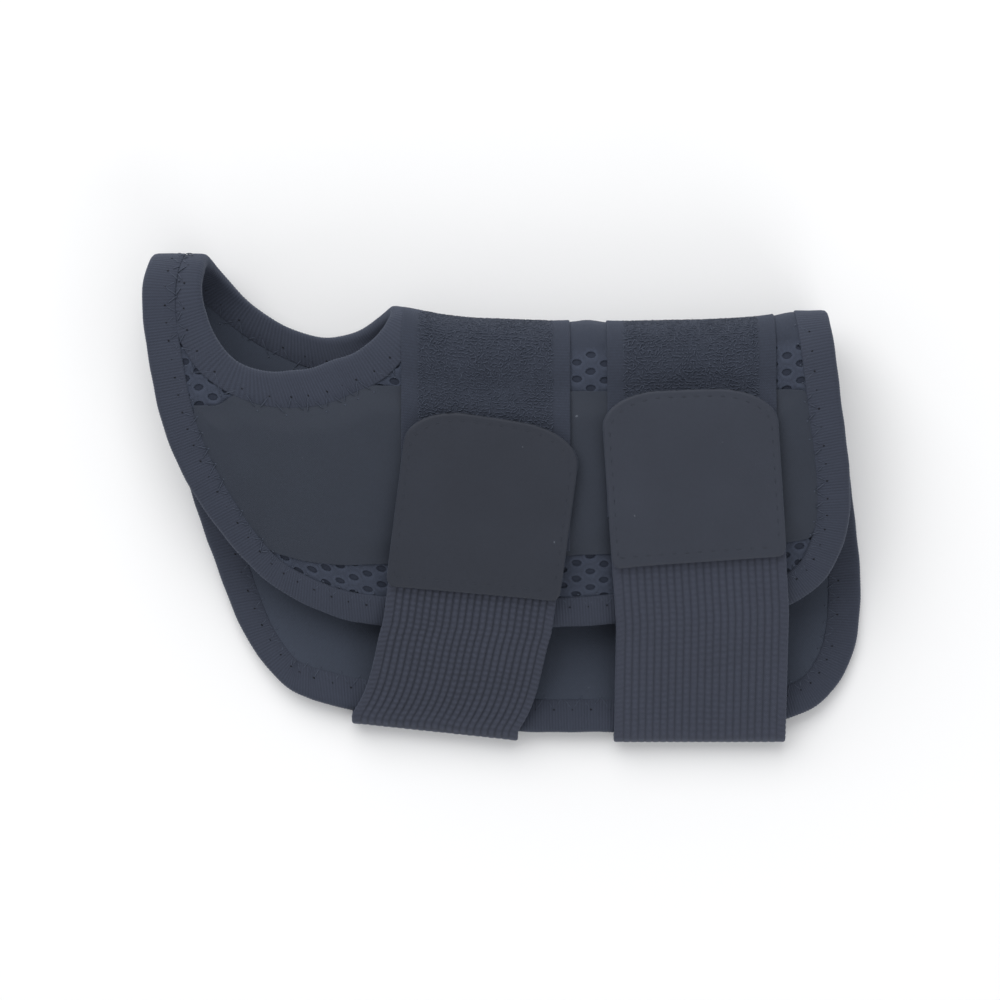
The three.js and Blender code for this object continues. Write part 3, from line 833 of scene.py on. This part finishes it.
# section of a folded tape: distance in from the edge as a part of its width and mm, level, share of the rib
def tapeProfile():
    outside, inside, rim = tape["outside"], tape["inside"], tape["rim"]
    turn = np.radians([90, 62, 36, 12, -12, -36, -62, -90])
    roundD = rim * (1 - np.abs(np.cos(turn)) ** 0.8)
    roundN = outside * np.sign(turn) * np.abs(np.sin(turn)) ** 0.8
    front = [(1, 0.0, outside - 0.65, 0), (1, -0.04, outside - 0.12, 0.4), (1, -0.3, outside, 1),
             (0.55, 0.2, outside + 0.05, 1)]
    bend = [(0, d, n, 1) for d, n in zip(roundD, roundN)]
    back = [(w, d, -n, share) for w, d, n, share in reversed(front)]
    # its thin borders lie on the padding, and the rest on the pressed edge of the cloth
    turnIn = rim * 0.75
    hidden = [(1, -1.0, -inside, 0), (0, turnIn, -inside, 0), (0, turnIn, inside, 0), (1, -1.0, inside, 0)]
    return np.array(front + bend + back + hidden + front[:1])


def makeTape(name, curve, width, node):
    total = edgeLength(curve)
    ribs = round(total / tape["ribPitch"])
    count = ribs * tape["perRib"]
    profile = tapeProfile()
    piece, column, row = startGrid(name, count, len(profile) - 1)
    distances = np.arange(count) / count * total
    spots, inward = edgeAt(curve, distances)
    widths = width(spots) if callable(width) else np.full(count, width)
    station = column % count
    share, offset, level, ribShare = profile[row].T
    d = widths[station] * share + offset
    # where it is narrowed, its border lies under the other tape
    narrowed = (share == 1) * np.clip(tape["width"] - widths[station], 0, 1)
    level = level - np.sign(level) * tape["tuck"] * narrowed
    # which way the section's skin faces, for the ribs
    drawn = np.column_stack([tape["width"] * profile[:, 0] + profile[:, 1], profile[:, 2]])
    slope = np.roll(drawn, -1, 0) - np.roll(drawn, 1, 0)
    slope /= np.maximum(np.linalg.norm(slope, axis=1), 1e-6)[:, None]
    skin = np.column_stack([-slope[:, 1], slope[:, 0]]) * -1
    ribSize = (1 + 0.2 * rng.standard_normal(ribs)).clip(0.5, 1.5)
    phase = np.cos(2 * math.pi * np.arange(count) / tape["perRib"])
    rib = (ribSize[np.arange(count) // tape["perRib"]] * phase)[station] * ribShare
    height, length = tape["wave"]
    wave = height * np.sin(distances * 2 * math.pi / length)[station] * ribShare
    stand = tape["ribHeight"] * rib + wave
    d = d + skin[row, 0] * stand
    n = level + skin[row, 1] * stand
    places = spots[station] + inward[station] * d[:, None]
    cloth = np.column_stack([distances[station], lengthsAlong(drawn)[row], np.zeros(len(row))])
    folded = foldCloth(np.column_stack([places, n]))
    # painted shade between the ribs, from each rib's crown value
    finishSheet(piece, folded, cloth, 0.5 + 0.5 * rib, "binding_tape", [node])
    return piece


# the thumb tape narrows on the web, where it goes under the border of the outer tape
def thumbTapeWidth(rim):
    even = np.arange(720) / 720 * edgeLength(rimCurve)
    spots, inward = edgeAt(rimCurve, even)
    widths = np.full(720, tape["width"])
    for width in np.arange(tape["width"], tape["narrowest"], -0.1):
        room = distanceTo(edgeCurve, spots + inward * width)
        widths[room < tape["width"] - tape["overlap"]] = width
    soft = np.mean([np.roll(widths, step) for step in range(-6, 7)], axis=0)
    widths = np.minimum(widths, soft)
    nearest = ((rim[:, None] - spots[None]) ** 2).sum(2).argmin(1)
    return widths[nearest]


edgeTape = makeTape("edge_tape", edgeCurve, tape["width"], "edge_binding")
thumbTape = makeTape("thumb_tape", rimCurve, thumbTapeWidth, "thumb_binding")


# sewing thread: one strand modelled once, thick in the middle and drawn in at both needle holes

strand = {
    "sides": 6,
    "cuts": 3,
    "thick": (0.12, 0.05),      # radius and arch of the tapes' thread
    "thin": (0.1, 0.02),        # and of the tabs'
}


def modelStrand(name, radius, arch):
    bpy.ops.object.select_all(action="DESELECT")
    bpy.ops.mesh.primitive_cylinder_add(vertices=strand["sides"], radius=radius, depth=1)
    piece = bpy.context.object
    piece.name = name
    bpy.ops.object.mode_set(mode="EDIT")
    bpy.ops.mesh.select_mode(type="EDGE")
    bpy.ops.mesh.select_all(action="DESELECT")
    bpy.ops.object.mode_set(mode="OBJECT")
    co = coordsOf(piece)
    for edge in piece.data.edges:
        edge.select = abs(co[edge.vertices[0], 2] - co[edge.vertices[1], 2]) > 0.5
    bpy.ops.object.mode_set(mode="EDIT")
    bpy.ops.mesh.subdivide(number_cuts=strand["cuts"])
    bpy.ops.object.mode_set(mode="OBJECT")
    co = coordsOf(piece)
    along = np.clip(np.abs(co[:, 2]) * 2, 0, 1)
    co[:, :2] *= (0.45 + 0.55 * np.sqrt(1 - along ** 3))[:, None]
    co[:, 1] += arch * (1 - along ** 2) - 0.5 * radius * along ** 4
    placePoints(piece, co)
    return piece


# strands between pairs of flat points; up is the side of the cloth that they lie on
def sewStrands(name, shape, starts, ends, up, thread):
    reach = ends - starts
    sideways = np.cross(reach, np.array([0, 0, 1.0]) * up)
    sideways /= np.linalg.norm(sideways, axis=1)[:, None]
    lift = np.zeros_like(reach)
    lift[:, 2] = up
    axes = np.stack([sideways, lift, reach], 1)
    piece = joinCopies(name, shape, (starts + ends) / 2, axes)
    finishPiece(piece, thread)
    return piece


zigzag = {
    "period": 4.4,
    "bite": 2.5,                # on the tape, in from its border
    "overEdge": 0.55,           # beyond that border of the outer tape
    "overThumb": 1.4,           # and of the thumb tape
    "tucked": -0.3,             # the same where the tape is narrowed
    "lift": 0.05,
    "legStart": (0.02, 0.3),    # the ribs hide parts of each leg: what shows starts and ends here
    "legEnd": (0.6, 0.98),
    "knotShare": 0.8,
    # size of the dark lumps of painted shade at the needle holes
    "holeShade": (0.3, 0.24, 0.06),
    "knot": (0.3, 0.24, 0.09),
}
thickThread = modelStrand("thick_strand", *strand["thick"])
thinThread = modelStrand("thin_strand", *strand["thin"])


# a small lump: a dark one is painted shade standing in for the hollow that a needle leaves in the tape; a
# thread-coloured one is the thread's knot beyond it
def modelLump(name, size):
    bpy.ops.object.select_all(action="DESELECT")
    bpy.ops.mesh.primitive_ico_sphere_add(subdivisions=1, radius=1)
    piece = bpy.context.object
    piece.name = name
    placePoints(piece, coordsOf(piece) * size)
    return piece


needleHoleShade = modelLump("needle_hole_shade", zigzag["holeShade"])
threadKnot = modelLump("thread_knot", zigzag["knot"])


# level of the cloth under a stitch, on its outer or its inner face
def stitchedLevel(places, up):
    low, swell = stayLevel(places, distanceTo(stayBorder, places))
    outer = np.where(insideOf(stayBorder, places), low + stay["border"] + swell, spacer["crown"])
    bare = outer if up > 0 else np.full(len(places), wrap["full"])
    return up * np.where(roomTo(places) < tape["width"], tape["outside"], bare)


def dropLumps(name, shape, spots, thread):
    piece = joinCopies(name, shape, spots, np.tile(np.eye(3), (len(spots), 1, 1)))
    finishPiece(piece, thread)
    return piece


# zigzag across the inner border of a tape, on its outer and its inner face
def sewZigzag(name, curve, width, reachOver):
    total = edgeLength(curve)
    count = 2 * round(total / zigzag["period"])
    spots, inward = edgeAt(curve, np.arange(count) / count * total)
    widths = width(spots) if callable(width) else np.full(count, width)
    onTape = np.arange(count) % 2 == 0
    over = np.where(widths < tape["width"] - 0.05, zigzag["tucked"], reachOver)
    places = spots + inward * (widths + np.where(onTape, -zigzag["bite"], over))[:, None]
    made = []
    for label, up in (("outer", 1.0), ("inner", -1.0)):
        points = np.column_stack([places, stitchedLevel(places, up) + zigzag["lift"] * up])
        reach = np.roll(points, -1, 0) - points
        starts = points + reach * rng.uniform(*zigzag["legStart"], count)[:, None]
        ends = points + reach * rng.uniform(*zigzag["legEnd"], count)[:, None]
        made.append(sewStrands(name + "_" + label, thickThread, starts, ends, up,
                               "sewing_thread"))
        # dark lumps at the needle holes: painted shade of the holes
        made.append(dropLumps(name + "_hole_shades_" + label, needleHoleShade, points[onTape], "needle_hole_shade"))
        free = ~onTape & (over > 0) & (rng.random(count) < zigzag["knotShare"])
        made.append(dropLumps(name + "_knots_" + label, threadKnot, points[free], "sewing_thread"))
    return made


edgeStitches = sewZigzag("edge_stitches", edgeCurve, tape["width"], zigzag["overEdge"])
thumbStitches = sewZigzag("thumb_stitches", rimCurve, thumbTapeWidth, zigzag["overThumb"])


# straight stitches along a flat path, at the levels given
def sewRow(name, path, level, stitch, gap, thread, slot):
    lengths = lengthsAlong(path)
    starts = np.arange(0.4, lengths[-1] - stitch, stitch + gap)
    ends = [np.column_stack([np.interp(at, lengths, path[:, k]) for k in (0, 1)] + [
        np.interp(at, lengths, level)]) for at in (starts, starts + stitch)]
    return sewStrands(name, thinThread, ends[0], ends[1], 1.0, thread)


straps = {
    "hand": {
        "stripX": -3.7,
        "tabTop": (-1.45, 28.0, 8.6),       # x, s, turn of the end in degrees
        "tabBottom": (-6.9, 69.1, 5.2),
        "webWidth": 40.1,
        "leaveS": 78.5,                     # where it leaves the front layer
        "wrap": (-16.0, -54.6, 6.0),        # x, y, turn where it goes round the rear layer's edge
        "bow": 1.3,                         # the free span swings this far to the side
        "relief": 1.15,                     # depth of its ribs, and of the painted shade in their hollows; the hand strap's is deeper, painted darker
        "tabPaintedShade": 0.1,                    # painted shade on its tab, 0 darkest to 1 none; the hand tab is painted darker
        "rearX": -19.5,                     # where its rear end is sewn
    },
    "forearm": {
        "stripX": 44.8,
        "tabTop": (43.8, 21.3, -1.8),
        "tabBottom": (46.7, 61.1, -4.1),
        "webWidth": 41.2,
        "leaveS": 75.2,
        "wrap": (47.6, -57.0, 0.0),
        "bow": 0.0,
        "relief": 0.75,
        "tabPaintedShade": 0.95,
        "rearX": 48.0,
    },
}


# places on the front layer, u across a strap and s down its middle line
# a line across it is straight when seen from above
def acrossStrap(strap, u, s):
    (topX, topS, topTurn), (lowX, lowS, lowTurn) = strap["tabTop"], strap["tabBottom"]
    part = (s - topS) / (lowS - topS)
    turn = np.radians(topTurn + (lowTurn - topTurn) * part)
    middle = topX + (lowX - topX) * part
    x = middle + u * np.cos(turn)
    return np.column_stack([x, s + u * np.sin(turn) + foldLine(x) - foldLine(middle)])


# loop strips: a ground cloth with two plain selvedges and a field of standing loops

loopStrip = {
    "width": 39.8,
    "low": 1.75,                # level of its underside on the wrap
    "raised": 3.3,              # and on the stay cover
    "ramp": (-1.5, 6.5),        # it climbs the stay cover between these distances from its upper edge
    "press": (0.35, 5.0, 13.0), # it is drawn down on the fold, by this much, out to these distances
    "rearLength": 29.0,
    "endAboveTabFoot": 10.5,
    "selvedge": 3.7,
    "ribPitch": 0.63,           # ribs across a selvedge
    "ribHeight": 0.05,
    "edge": 0.4,
    "ground": 0.55,             # top of the ground cloth over its underside
    "middle": 0.3,              # its borders close at this height
    "fieldDrop": 0.12,          # the field of loops lies this much lower than the selvedges
    "step": 0.8,
    "loopStep": (0.68, 0.74),
    "loopSize": (0.37, 0.2),    # half width of a loop and its height
    "loopDepth": 0.5,           # of its yarn
    "scatter": (0.4, 0.16),     # of the loops, as parts of their steps
    "sizeSpread": 0.25,
    "turnSpread": 0.8,          # most loops lie across the strip
    "leanSpread": 0.4,
    "wornFold": (3.0, 11.0),    # they are worn flat along the fold, out to these distances
    "underTab": 9.0,            # the loops go on this far under the tab
}


def stripLow(strap, s):
    half = loopStrip["width"] / 2
    x = strap["stripX"] + np.linspace(-half, half, 4)
    panelTop = np.interp(x, stayX, stayTop).min()
    start, end = loopStrip["ramp"]
    rise = smoothStep(s, panelTop + start, panelTop + end)
    drawn, near, far = loopStrip["press"]
    drawn = drawn * (1 - smoothStep(np.abs(s), near, far))
    return loopStrip["low"] - drawn + (loopStrip["raised"] - loopStrip["low"]) * rise


def makeLoopStrip(name):
    strap = straps[name]
    length = strap["tabBottom"][1] - loopStrip["endAboveTabFoot"] + loopStrip["rearLength"]
    ribs = round((length - 2 * loopStrip["edge"]) / loopStrip["ribPitch"])
    pitch = (length - 2 * loopStrip["edge"]) / ribs
    along = bordered(length, pitch / 2 + 1e-6, loopStrip["edge"]) - loopStrip["rearLength"]
    across = bordered(loopStrip["width"], loopStrip["step"], loopStrip["edge"])
    piece, u, s, side = startSheet("loop_strip_cloth_" + name, across, along)
    sideways = np.minimum(u, loopStrip["width"] - u)
    border = np.minimum(sideways, np.minimum(s - along[0], along[-1] - s))
    rise = roundOff(border, loopStrip["edge"])
    inField = smoothStep(sideways, loopStrip["selvedge"] - 0.4, loopStrip["selvedge"] + 0.4)
    rib = np.cos(2 * math.pi * (s - along[0] - loopStrip["edge"]) / pitch) * (1 - inField)
    uneven = 0.05 * ripple(u, s, 11, 21)
    middle = loopStrip["middle"]
    lift = loopStrip["ground"] - middle - loopStrip["fieldDrop"] * inField
    lift = lift + loopStrip["ribHeight"] * rib + uneven
    n = stripLow(strap, s) + middle + np.where(side > 0, rise * lift, -middle * rise)
    x = strap["stripX"] - loopStrip["width"] / 2 + u
    flat = np.column_stack([x, s, n])
    # painted shade: darker between the selvedge ribs and on the ground among the loops
    crown = np.where(side > 0, 0.7 + 0.3 * rib - 0.35 * inField, 1)
    finishSheet(piece, foldCloth(flat), flat, crown, "loop_ground", ["loop_strip_" + name])
    return piece


# one loop of pile: half a ring standing on the cloth
def modelLoop():
    bpy.ops.object.select_all(action="DESELECT")
    bpy.ops.mesh.primitive_torus_add(major_segments=8, minor_segments=3, major_radius=1.0,
                                     minor_radius=0.26, rotation=(math.pi / 2, 0, 0))
    piece = bpy.context.object
    piece.name = "pile_loop"
    bpy.ops.object.transform_apply(location=False, rotation=True, scale=False)
    bpy.ops.object.mode_set(mode="EDIT")
    bpy.ops.mesh.select_all(action="SELECT")
    bpy.ops.mesh.bisect(plane_co=(0, 0, -0.1), plane_no=(0, 0, 1), clear_inner=True, use_fill=True)
    bpy.ops.object.mode_set(mode="OBJECT")
    return piece


pileLoop = modelLoop()


def makePile(name):
    strap = straps[name]
    half = loopStrip["width"] / 2 - loopStrip["selvedge"]
    end = strap["tabTop"][1] + loopStrip["underTab"]
    stepU, stepS = loopStrip["loopStep"]
    scatterU, scatterS = loopStrip["scatter"]
    rowU = np.arange(-half + 0.4, half - 0.3, stepU)
    rowS = np.arange(1 - loopStrip["rearLength"], end, stepS)
    u, s = np.meshgrid(rowU, rowS)
    u = u.ravel() + rng.uniform(-scatterU, scatterU, u.size) * stepU
    s = s.ravel() + rng.normal(0, scatterS, s.size) * stepS
    width, height = (size * (1 + loopStrip["sizeSpread"] * rng.standard_normal(u.size)).clip(0.6, 1.5)
                     for size in loopStrip["loopSize"])
    height = height * (0.5 + 0.5 * smoothStep(np.abs(s), *loopStrip["wornFold"]))
    turn = rng.normal(0, loopStrip["turnSpread"], u.size)
    lean = rng.normal(0, loopStrip["leanSpread"], (u.size, 2))
    foot = stripLow(strap, s) + loopStrip["ground"] - loopStrip["fieldDrop"]
    origins = np.column_stack([strap["stripX"] + u, s, foot])
    axes = np.zeros((u.size, 3, 3))
    axes[:, 0, 0] = np.cos(turn) * width
    axes[:, 0, 1] = np.sin(turn) * width
    axes[:, 1, 0] = -np.sin(turn) * loopStrip["loopDepth"]
    axes[:, 1, 1] = np.cos(turn) * loopStrip["loopDepth"]
    axes[:, 2, :2] = lean * height[:, None]
    axes[:, 2, 2] = height
    piece = joinCopies("loop_pile_" + name, pileLoop, origins, axes)
    finishPiece(piece, "loop_pile")
    return piece


for strapName in straps:
    makeLoopStrip(strapName)
    makePile(strapName)


# hook tabs: smooth backs with rounded upper corners and a sewn border

tab = {
    "width": 41.3,
    "thickness": 1.25,
    "middle": 0.6,              # its borders close at this height
    "low": 5.2,                 # over the webbing at its foot
    "sag": 0.75,                # it lies this much lower on the loops above
    "cornerAcross": 14.6,
    "cornerAlong": 8.0,
    "footCorner": (2.0, 2.6),   # the same at its foot
    "edge": 0.65,
    "seamIn": 1.6,
    "footRow": 2.5,             # the row of stitches over its lower edge
    "groove": 0.035,
    "grooveWidth": 0.6,
    "stitch": (1.3, 1.75),      # length of a stitch and of the gap after it
    "step": 0.7,
    "cornerLift": 0.3,
}


# half width of a tab, which its rounded corners draw in
def tabHalf(strap, s):
    across, along = tab["footCorner"]
    fromTop, fromFoot = s - strap["tabTop"][1], strap["tabBottom"][1] - s
    half = tab["width"] / 2 - tab["cornerAcross"] * (1 - roundOff(fromTop, tab["cornerAlong"]))
    return half - across * (1 - roundOff(fromFoot, along))


def tabBorder(strap):
    top, bottom = strap["tabTop"][1], strap["tabBottom"][1]
    s = np.concatenate([top + tab["cornerAlong"] * np.linspace(0, 1, 60) ** 2,
                        np.linspace(top + tab["cornerAlong"], bottom, 90)[1:]])
    half = tabHalf(strap, s)
    foot = np.linspace(1, -1, 80)[1:-1] * half[-1]
    crest = np.linspace(-1, 1, 30)[1:-1] * half[0]
    return np.vstack([
        acrossStrap(strap, -half[::-1], s[::-1]), acrossStrap(strap, crest, np.full(28, top)),
        acrossStrap(strap, half, s), acrossStrap(strap, foot, np.full(78, bottom))])


def tabLift(strap, u, s):
    top = strap["tabTop"][1]
    corner = smoothStep(np.abs(u), 8, 21) * (1 - smoothStep(s, top + 2, top + 16))
    foot = strap["tabBottom"][1] - s
    return tab["cornerLift"] * corner + 0.1 * ripple(u, s, 22, 31) - tab["sag"] * smoothStep(foot, 8, 20)


def makeTab(name):
    strap = straps[name]
    top, bottom = strap["tabTop"][1], strap["tabBottom"][1]
    crowd = top + tab["cornerAlong"] * np.linspace(0, 1, 22) ** 2
    along = np.concatenate([crowd, (top + bordered(bottom - top, tab["step"], tab["edge"]))])
    along = np.unique(np.round(along, 4))
    across = bordered(tab["width"], tab["step"], tab["edge"]) / tab["width"] * 2 - 1
    piece, part, s, side = startSheet("hook_tab_back_" + name, across, along)
    u = part * tabHalf(strap, s)
    places = acrossStrap(strap, u, s)
    outline = tabBorder(strap)
    border = distanceTo(outline, places)
    ends = (np.abs(part) == 1) | (s == along[0]) | (s == along[-1])
    border = np.where(ends, 0, border)
    rise = roundOff(border, tab["edge"])
    middle = tab["low"] + tab["middle"] + tabLift(strap, u, s)
    overFoot = smoothStep(bottom - s, tab["footRow"] - 0.5, tab["footRow"] + 0.5)
    groove = np.exp(-((border - tab["seamIn"]) / tab["grooveWidth"]) ** 2) * overFoot
    groove += np.exp(-((bottom - s - tab["footRow"]) / tab["grooveWidth"]) ** 2) * (border > 1)
    lift = tab["thickness"] - tab["middle"] - tab["groove"] * groove
    n = middle + np.where(side > 0, rise * lift, -tab["middle"] * rise)
    folded = foldCloth(np.column_stack([places, n]))
    cloth = np.column_stack([u, s, n])
    # the tab's painted shade goes to the material as its crown value
    finishSheet(piece, folded, cloth, np.full(len(s), strap["tabPaintedShade"]),
                "hook_tab", ["hook_tab_" + name])
    # one row up a side, over the top and down the other side, and one over the foot
    seamS = np.linspace(bottom - tab["footRow"], top + tab["seamIn"], 400)
    rise = np.clip((seamS - top - tab["seamIn"]) / (tab["cornerAlong"] - 0.5), 0, 1)
    seamU = tab["width"] / 2 - tab["seamIn"]
    seamU = seamU - (tab["cornerAcross"] - 0.9) * (1 - np.sqrt(1 - (1 - rise) ** 2))
    crest = np.linspace(-1, 1, 40)[1:-1] * seamU[-1]
    seamU = np.concatenate([-seamU, crest, seamU[::-1]])
    seamS = np.concatenate([seamS, np.full(38, seamS[-1]), seamS[::-1]])
    surface = tab["low"] + tab["thickness"] - tab["groove"]
    level = surface + tabLift(strap, seamU, seamS)
    seam = acrossStrap(strap, seamU, seamS)
    stitches = sewRow("tab_stitches_" + name, seam, level, *tab["stitch"], "tab_thread", "hook_tab")
    footU = np.linspace(-1, 1, 60) * (tab["width"] / 2 - tab["seamIn"])
    footS = np.full(60, bottom - tab["footRow"])
    foot = acrossStrap(strap, footU, footS)
    footLevel = surface + tabLift(strap, footU, footS)
    footStitches = sewRow("tab_foot_stitches_" + name, foot, footLevel, *tab["stitch"],
                          "tab_thread", "hook_tab")
    return [piece, stitches, footStitches]


tabPieces = {strapName: makeTab(strapName) for strapName in straps}


# elastic webbing: knotted ribs along its length, small loops down both selvedges

webbing = {
    "thickness": 1.6,
    "sewnUnderTab": 8.0,
    "rearEnd": 16.0,            # y where the rear end is sewn down
    "clearance": 0.3,
    "ribPitch": 1.76,
    "knotPitch": 1.56,
    "ribHeight": 0.36,
    "columnsPerRib": 6,
    "selvedge": 2.3,
    "selvedgeLoop": 1.33,       # pitch of the slanted loops down a selvedge
    "scallop": 0.1,             # they make its sides this uneven
    "edge": 0.5,                # radius of its sides
    "softening": 14,            # passes that soften its bends
    "rows": (46, 80, 36, 146),  # under the tab, free, round the edge, along the table
}


# middle points and normals of one lengthwise line, u from the strap's middle
def webbingLine(strap, u):
    half = webbing["thickness"] / 2
    under, free, bend, rear = webbing["rows"]
    s = np.linspace(strap["tabBottom"][1] - webbing["sewnUnderTab"], strap["leaveS"], under)
    spots = acrossStrap(strap, np.full(under, u), s)
    sewn = foldCloth(np.column_stack([spots, np.full(under, loopStrip["raised"] + half)])) / mm
    normalY, normalZ = layerNormal(spots[:, 1])
    wrapX, wrapY, turn = strap["wrap"]
    shiftX, shiftY = fold["shift"]
    radius = tape["outside"] + webbing["clearance"] + half
    hubX = wrapX + u * math.cos(math.radians(turn)) + shiftX
    hubY = wrapY - u * math.sin(math.radians(turn)) + tape["outside"] + shiftY
    reachY, reachZ = sewn[-1, 1] - hubY, sewn[-1, 2] - fold["rearLevel"]
    touch = math.atan2(reachZ, reachY) + math.acos(radius / math.hypot(reachY, reachZ))
    angle = np.linspace(touch, 1.5 * math.pi, bend)
    roundEdge = np.column_stack([np.full(bend, hubX), hubY + radius * np.cos(angle),
                                 fold["rearLevel"] + radius * np.sin(angle)])
    span = np.linspace(0, 1, free + 2)[1:-1, None]
    hanging = sewn[-1] + (roundEdge[0] - sewn[-1]) * span
    hanging[:, :1] += strap["bow"] * 6.75 * span ** 2 * (1 - span)
    end = np.array([strap["rearX"] + u + shiftX, webbing["rearEnd"] + shiftY, half])
    table = roundEdge[-1] + (end - roundEdge[-1]) * np.linspace(0, 1, rear + 1)[1:, None]
    points = np.vstack([sewn, hanging, roundEdge, table])
    facing = np.zeros_like(points)
    facing[:, 1:] = np.concatenate([
        np.column_stack([normalY, normalZ]), np.tile([math.cos(touch), math.sin(touch)], (free, 1)),
        np.column_stack([np.cos(angle), np.sin(angle)]), np.tile([0.0, -1.0], (rear, 1))])
    return points, facing


# the strap bends over the front layer's edge in a soft curve
def softenRows(values, reach):
    soft = values.copy()
    for turn in range(reach):
        soft[1:-1] = soft[1:-1] * 0.5 + (soft[:-2] + soft[2:]) * 0.25
    return soft


def makeWebbing(name):
    strap = straps[name]
    half = webbing["thickness"] / 2
    width = strap["webWidth"]
    ribs = round(width / webbing["ribPitch"])
    rounded = webbing["edge"]
    inner = np.linspace(-1, 1, ribs * webbing["columnsPerRib"] + 1) * (width / 2 - rounded)
    rim = width / 2 - rounded * np.array([0, 0.1, 0.4])
    across = np.concatenate([-rim, inner, rim[::-1]])
    lines = [webbingLine(strap, u) for u in across]
    rows = len(lines[0][0])
    piece, u, row, side = startSheet("elastic_strap_" + name, across, np.arange(rows))
    column = np.searchsorted(across, u)
    passes = webbing["softening"]
    points, facing = (np.stack([softenRows(line[k], passes) for line in lines]) for k in (0, 1))
    facing /= np.linalg.norm(facing, axis=2)[:, :, None]
    run = lengthsAlong(points[len(across) // 2])[row]
    edge = width / 2 - np.abs(u)
    ends = np.minimum(run, run.max() - run)
    rise = roundOff(edge, rounded) * roundOff(ends, 0.6)
    ribTurn = (u + width / 2 - rounded) / (width - 2 * rounded) * ribs
    # knots along each rib, a little out of step with the next one and unevenly drawn
    drift = 0.25 * ripple(u, run, 13, 41) + 0.12 * (np.floor(ribTurn) % 2)
    knot = 0.5 + 0.5 * np.cos(2 * math.pi * (run / webbing["knotPitch"] + drift))
    knotShare = 0.42 + 0.12 * ripple(u, run, 17, 43)
    rib = np.minimum(1.12 * np.abs(np.sin(math.pi * ribTurn)) ** 0.75, 1)
    stand = rib * (1 - knotShare + knotShare * knot)
    # slanted loops down both selvedges
    slant = run / webbing["selvedgeLoop"] + 0.4 * edge / webbing["selvedge"]
    loops = 0.5 + 0.5 * np.cos(2 * math.pi * slant)
    atSide = 1 - smoothStep(edge, webbing["selvedge"] - 0.5, webbing["selvedge"])
    stand = stand * (1 - atSide) + (0.5 + 0.4 * loops) * atSide
    stand = 1 - strap["relief"] * (1 - stand)
    under, free, bend, rear = webbing["rows"]
    turned = smoothStep(row, under + free - 12, under + free)
    turned = turned * (1 - smoothStep(row, under + free + bend, under + free + bend + 20))
    relief = webbing["ribHeight"] * (1 - 0.6 * turned) * (stand - 1)
    offset = side * (half + relief) * rise
    places = points[column, row] + facing[column, row] * offset[:, None]
    places[:, 0] += webbing["scallop"] * (loops - 0.5) * (edge < 0.45) * np.sign(u)
    cloth = np.column_stack([u, run, side * 3])
    # the ribs' stand also goes to the material as painted shade in their hollows
    finishSheet(piece, places * mm, cloth, stand, "elastic_webbing", ["webbing_" + name])
    return piece, run.max()


strapPieces = {strapName: makeWebbing(strapName) for strapName in straps}


# tidy away the shapes that were copied
for spare in (thickThread, thinThread, needleHoleShade, threadKnot, pileLoop):
    bpy.data.objects.remove(spare, do_unlink=True)


# floor

bpy.ops.object.select_all(action="DESELECT")
bpy.ops.mesh.primitive_plane_add(size=6, location=(0, 0, 0))
floor = bpy.context.object
floor.name = "floor"
floorPaint = bpy.data.materials.new("pale_floor")
floorPaint.use_nodes = True
floorShader = floorPaint.node_tree.nodes["Principled BSDF"]
floorShader.inputs["Base Color"].default_value = (0.92, 0.92, 0.92, 1)
floorShader.inputs["Roughness"].default_value = 0.9
floorShader.inputs["Specular IOR Level"].default_value = 0.1
floor.data.materials.append(floorPaint)
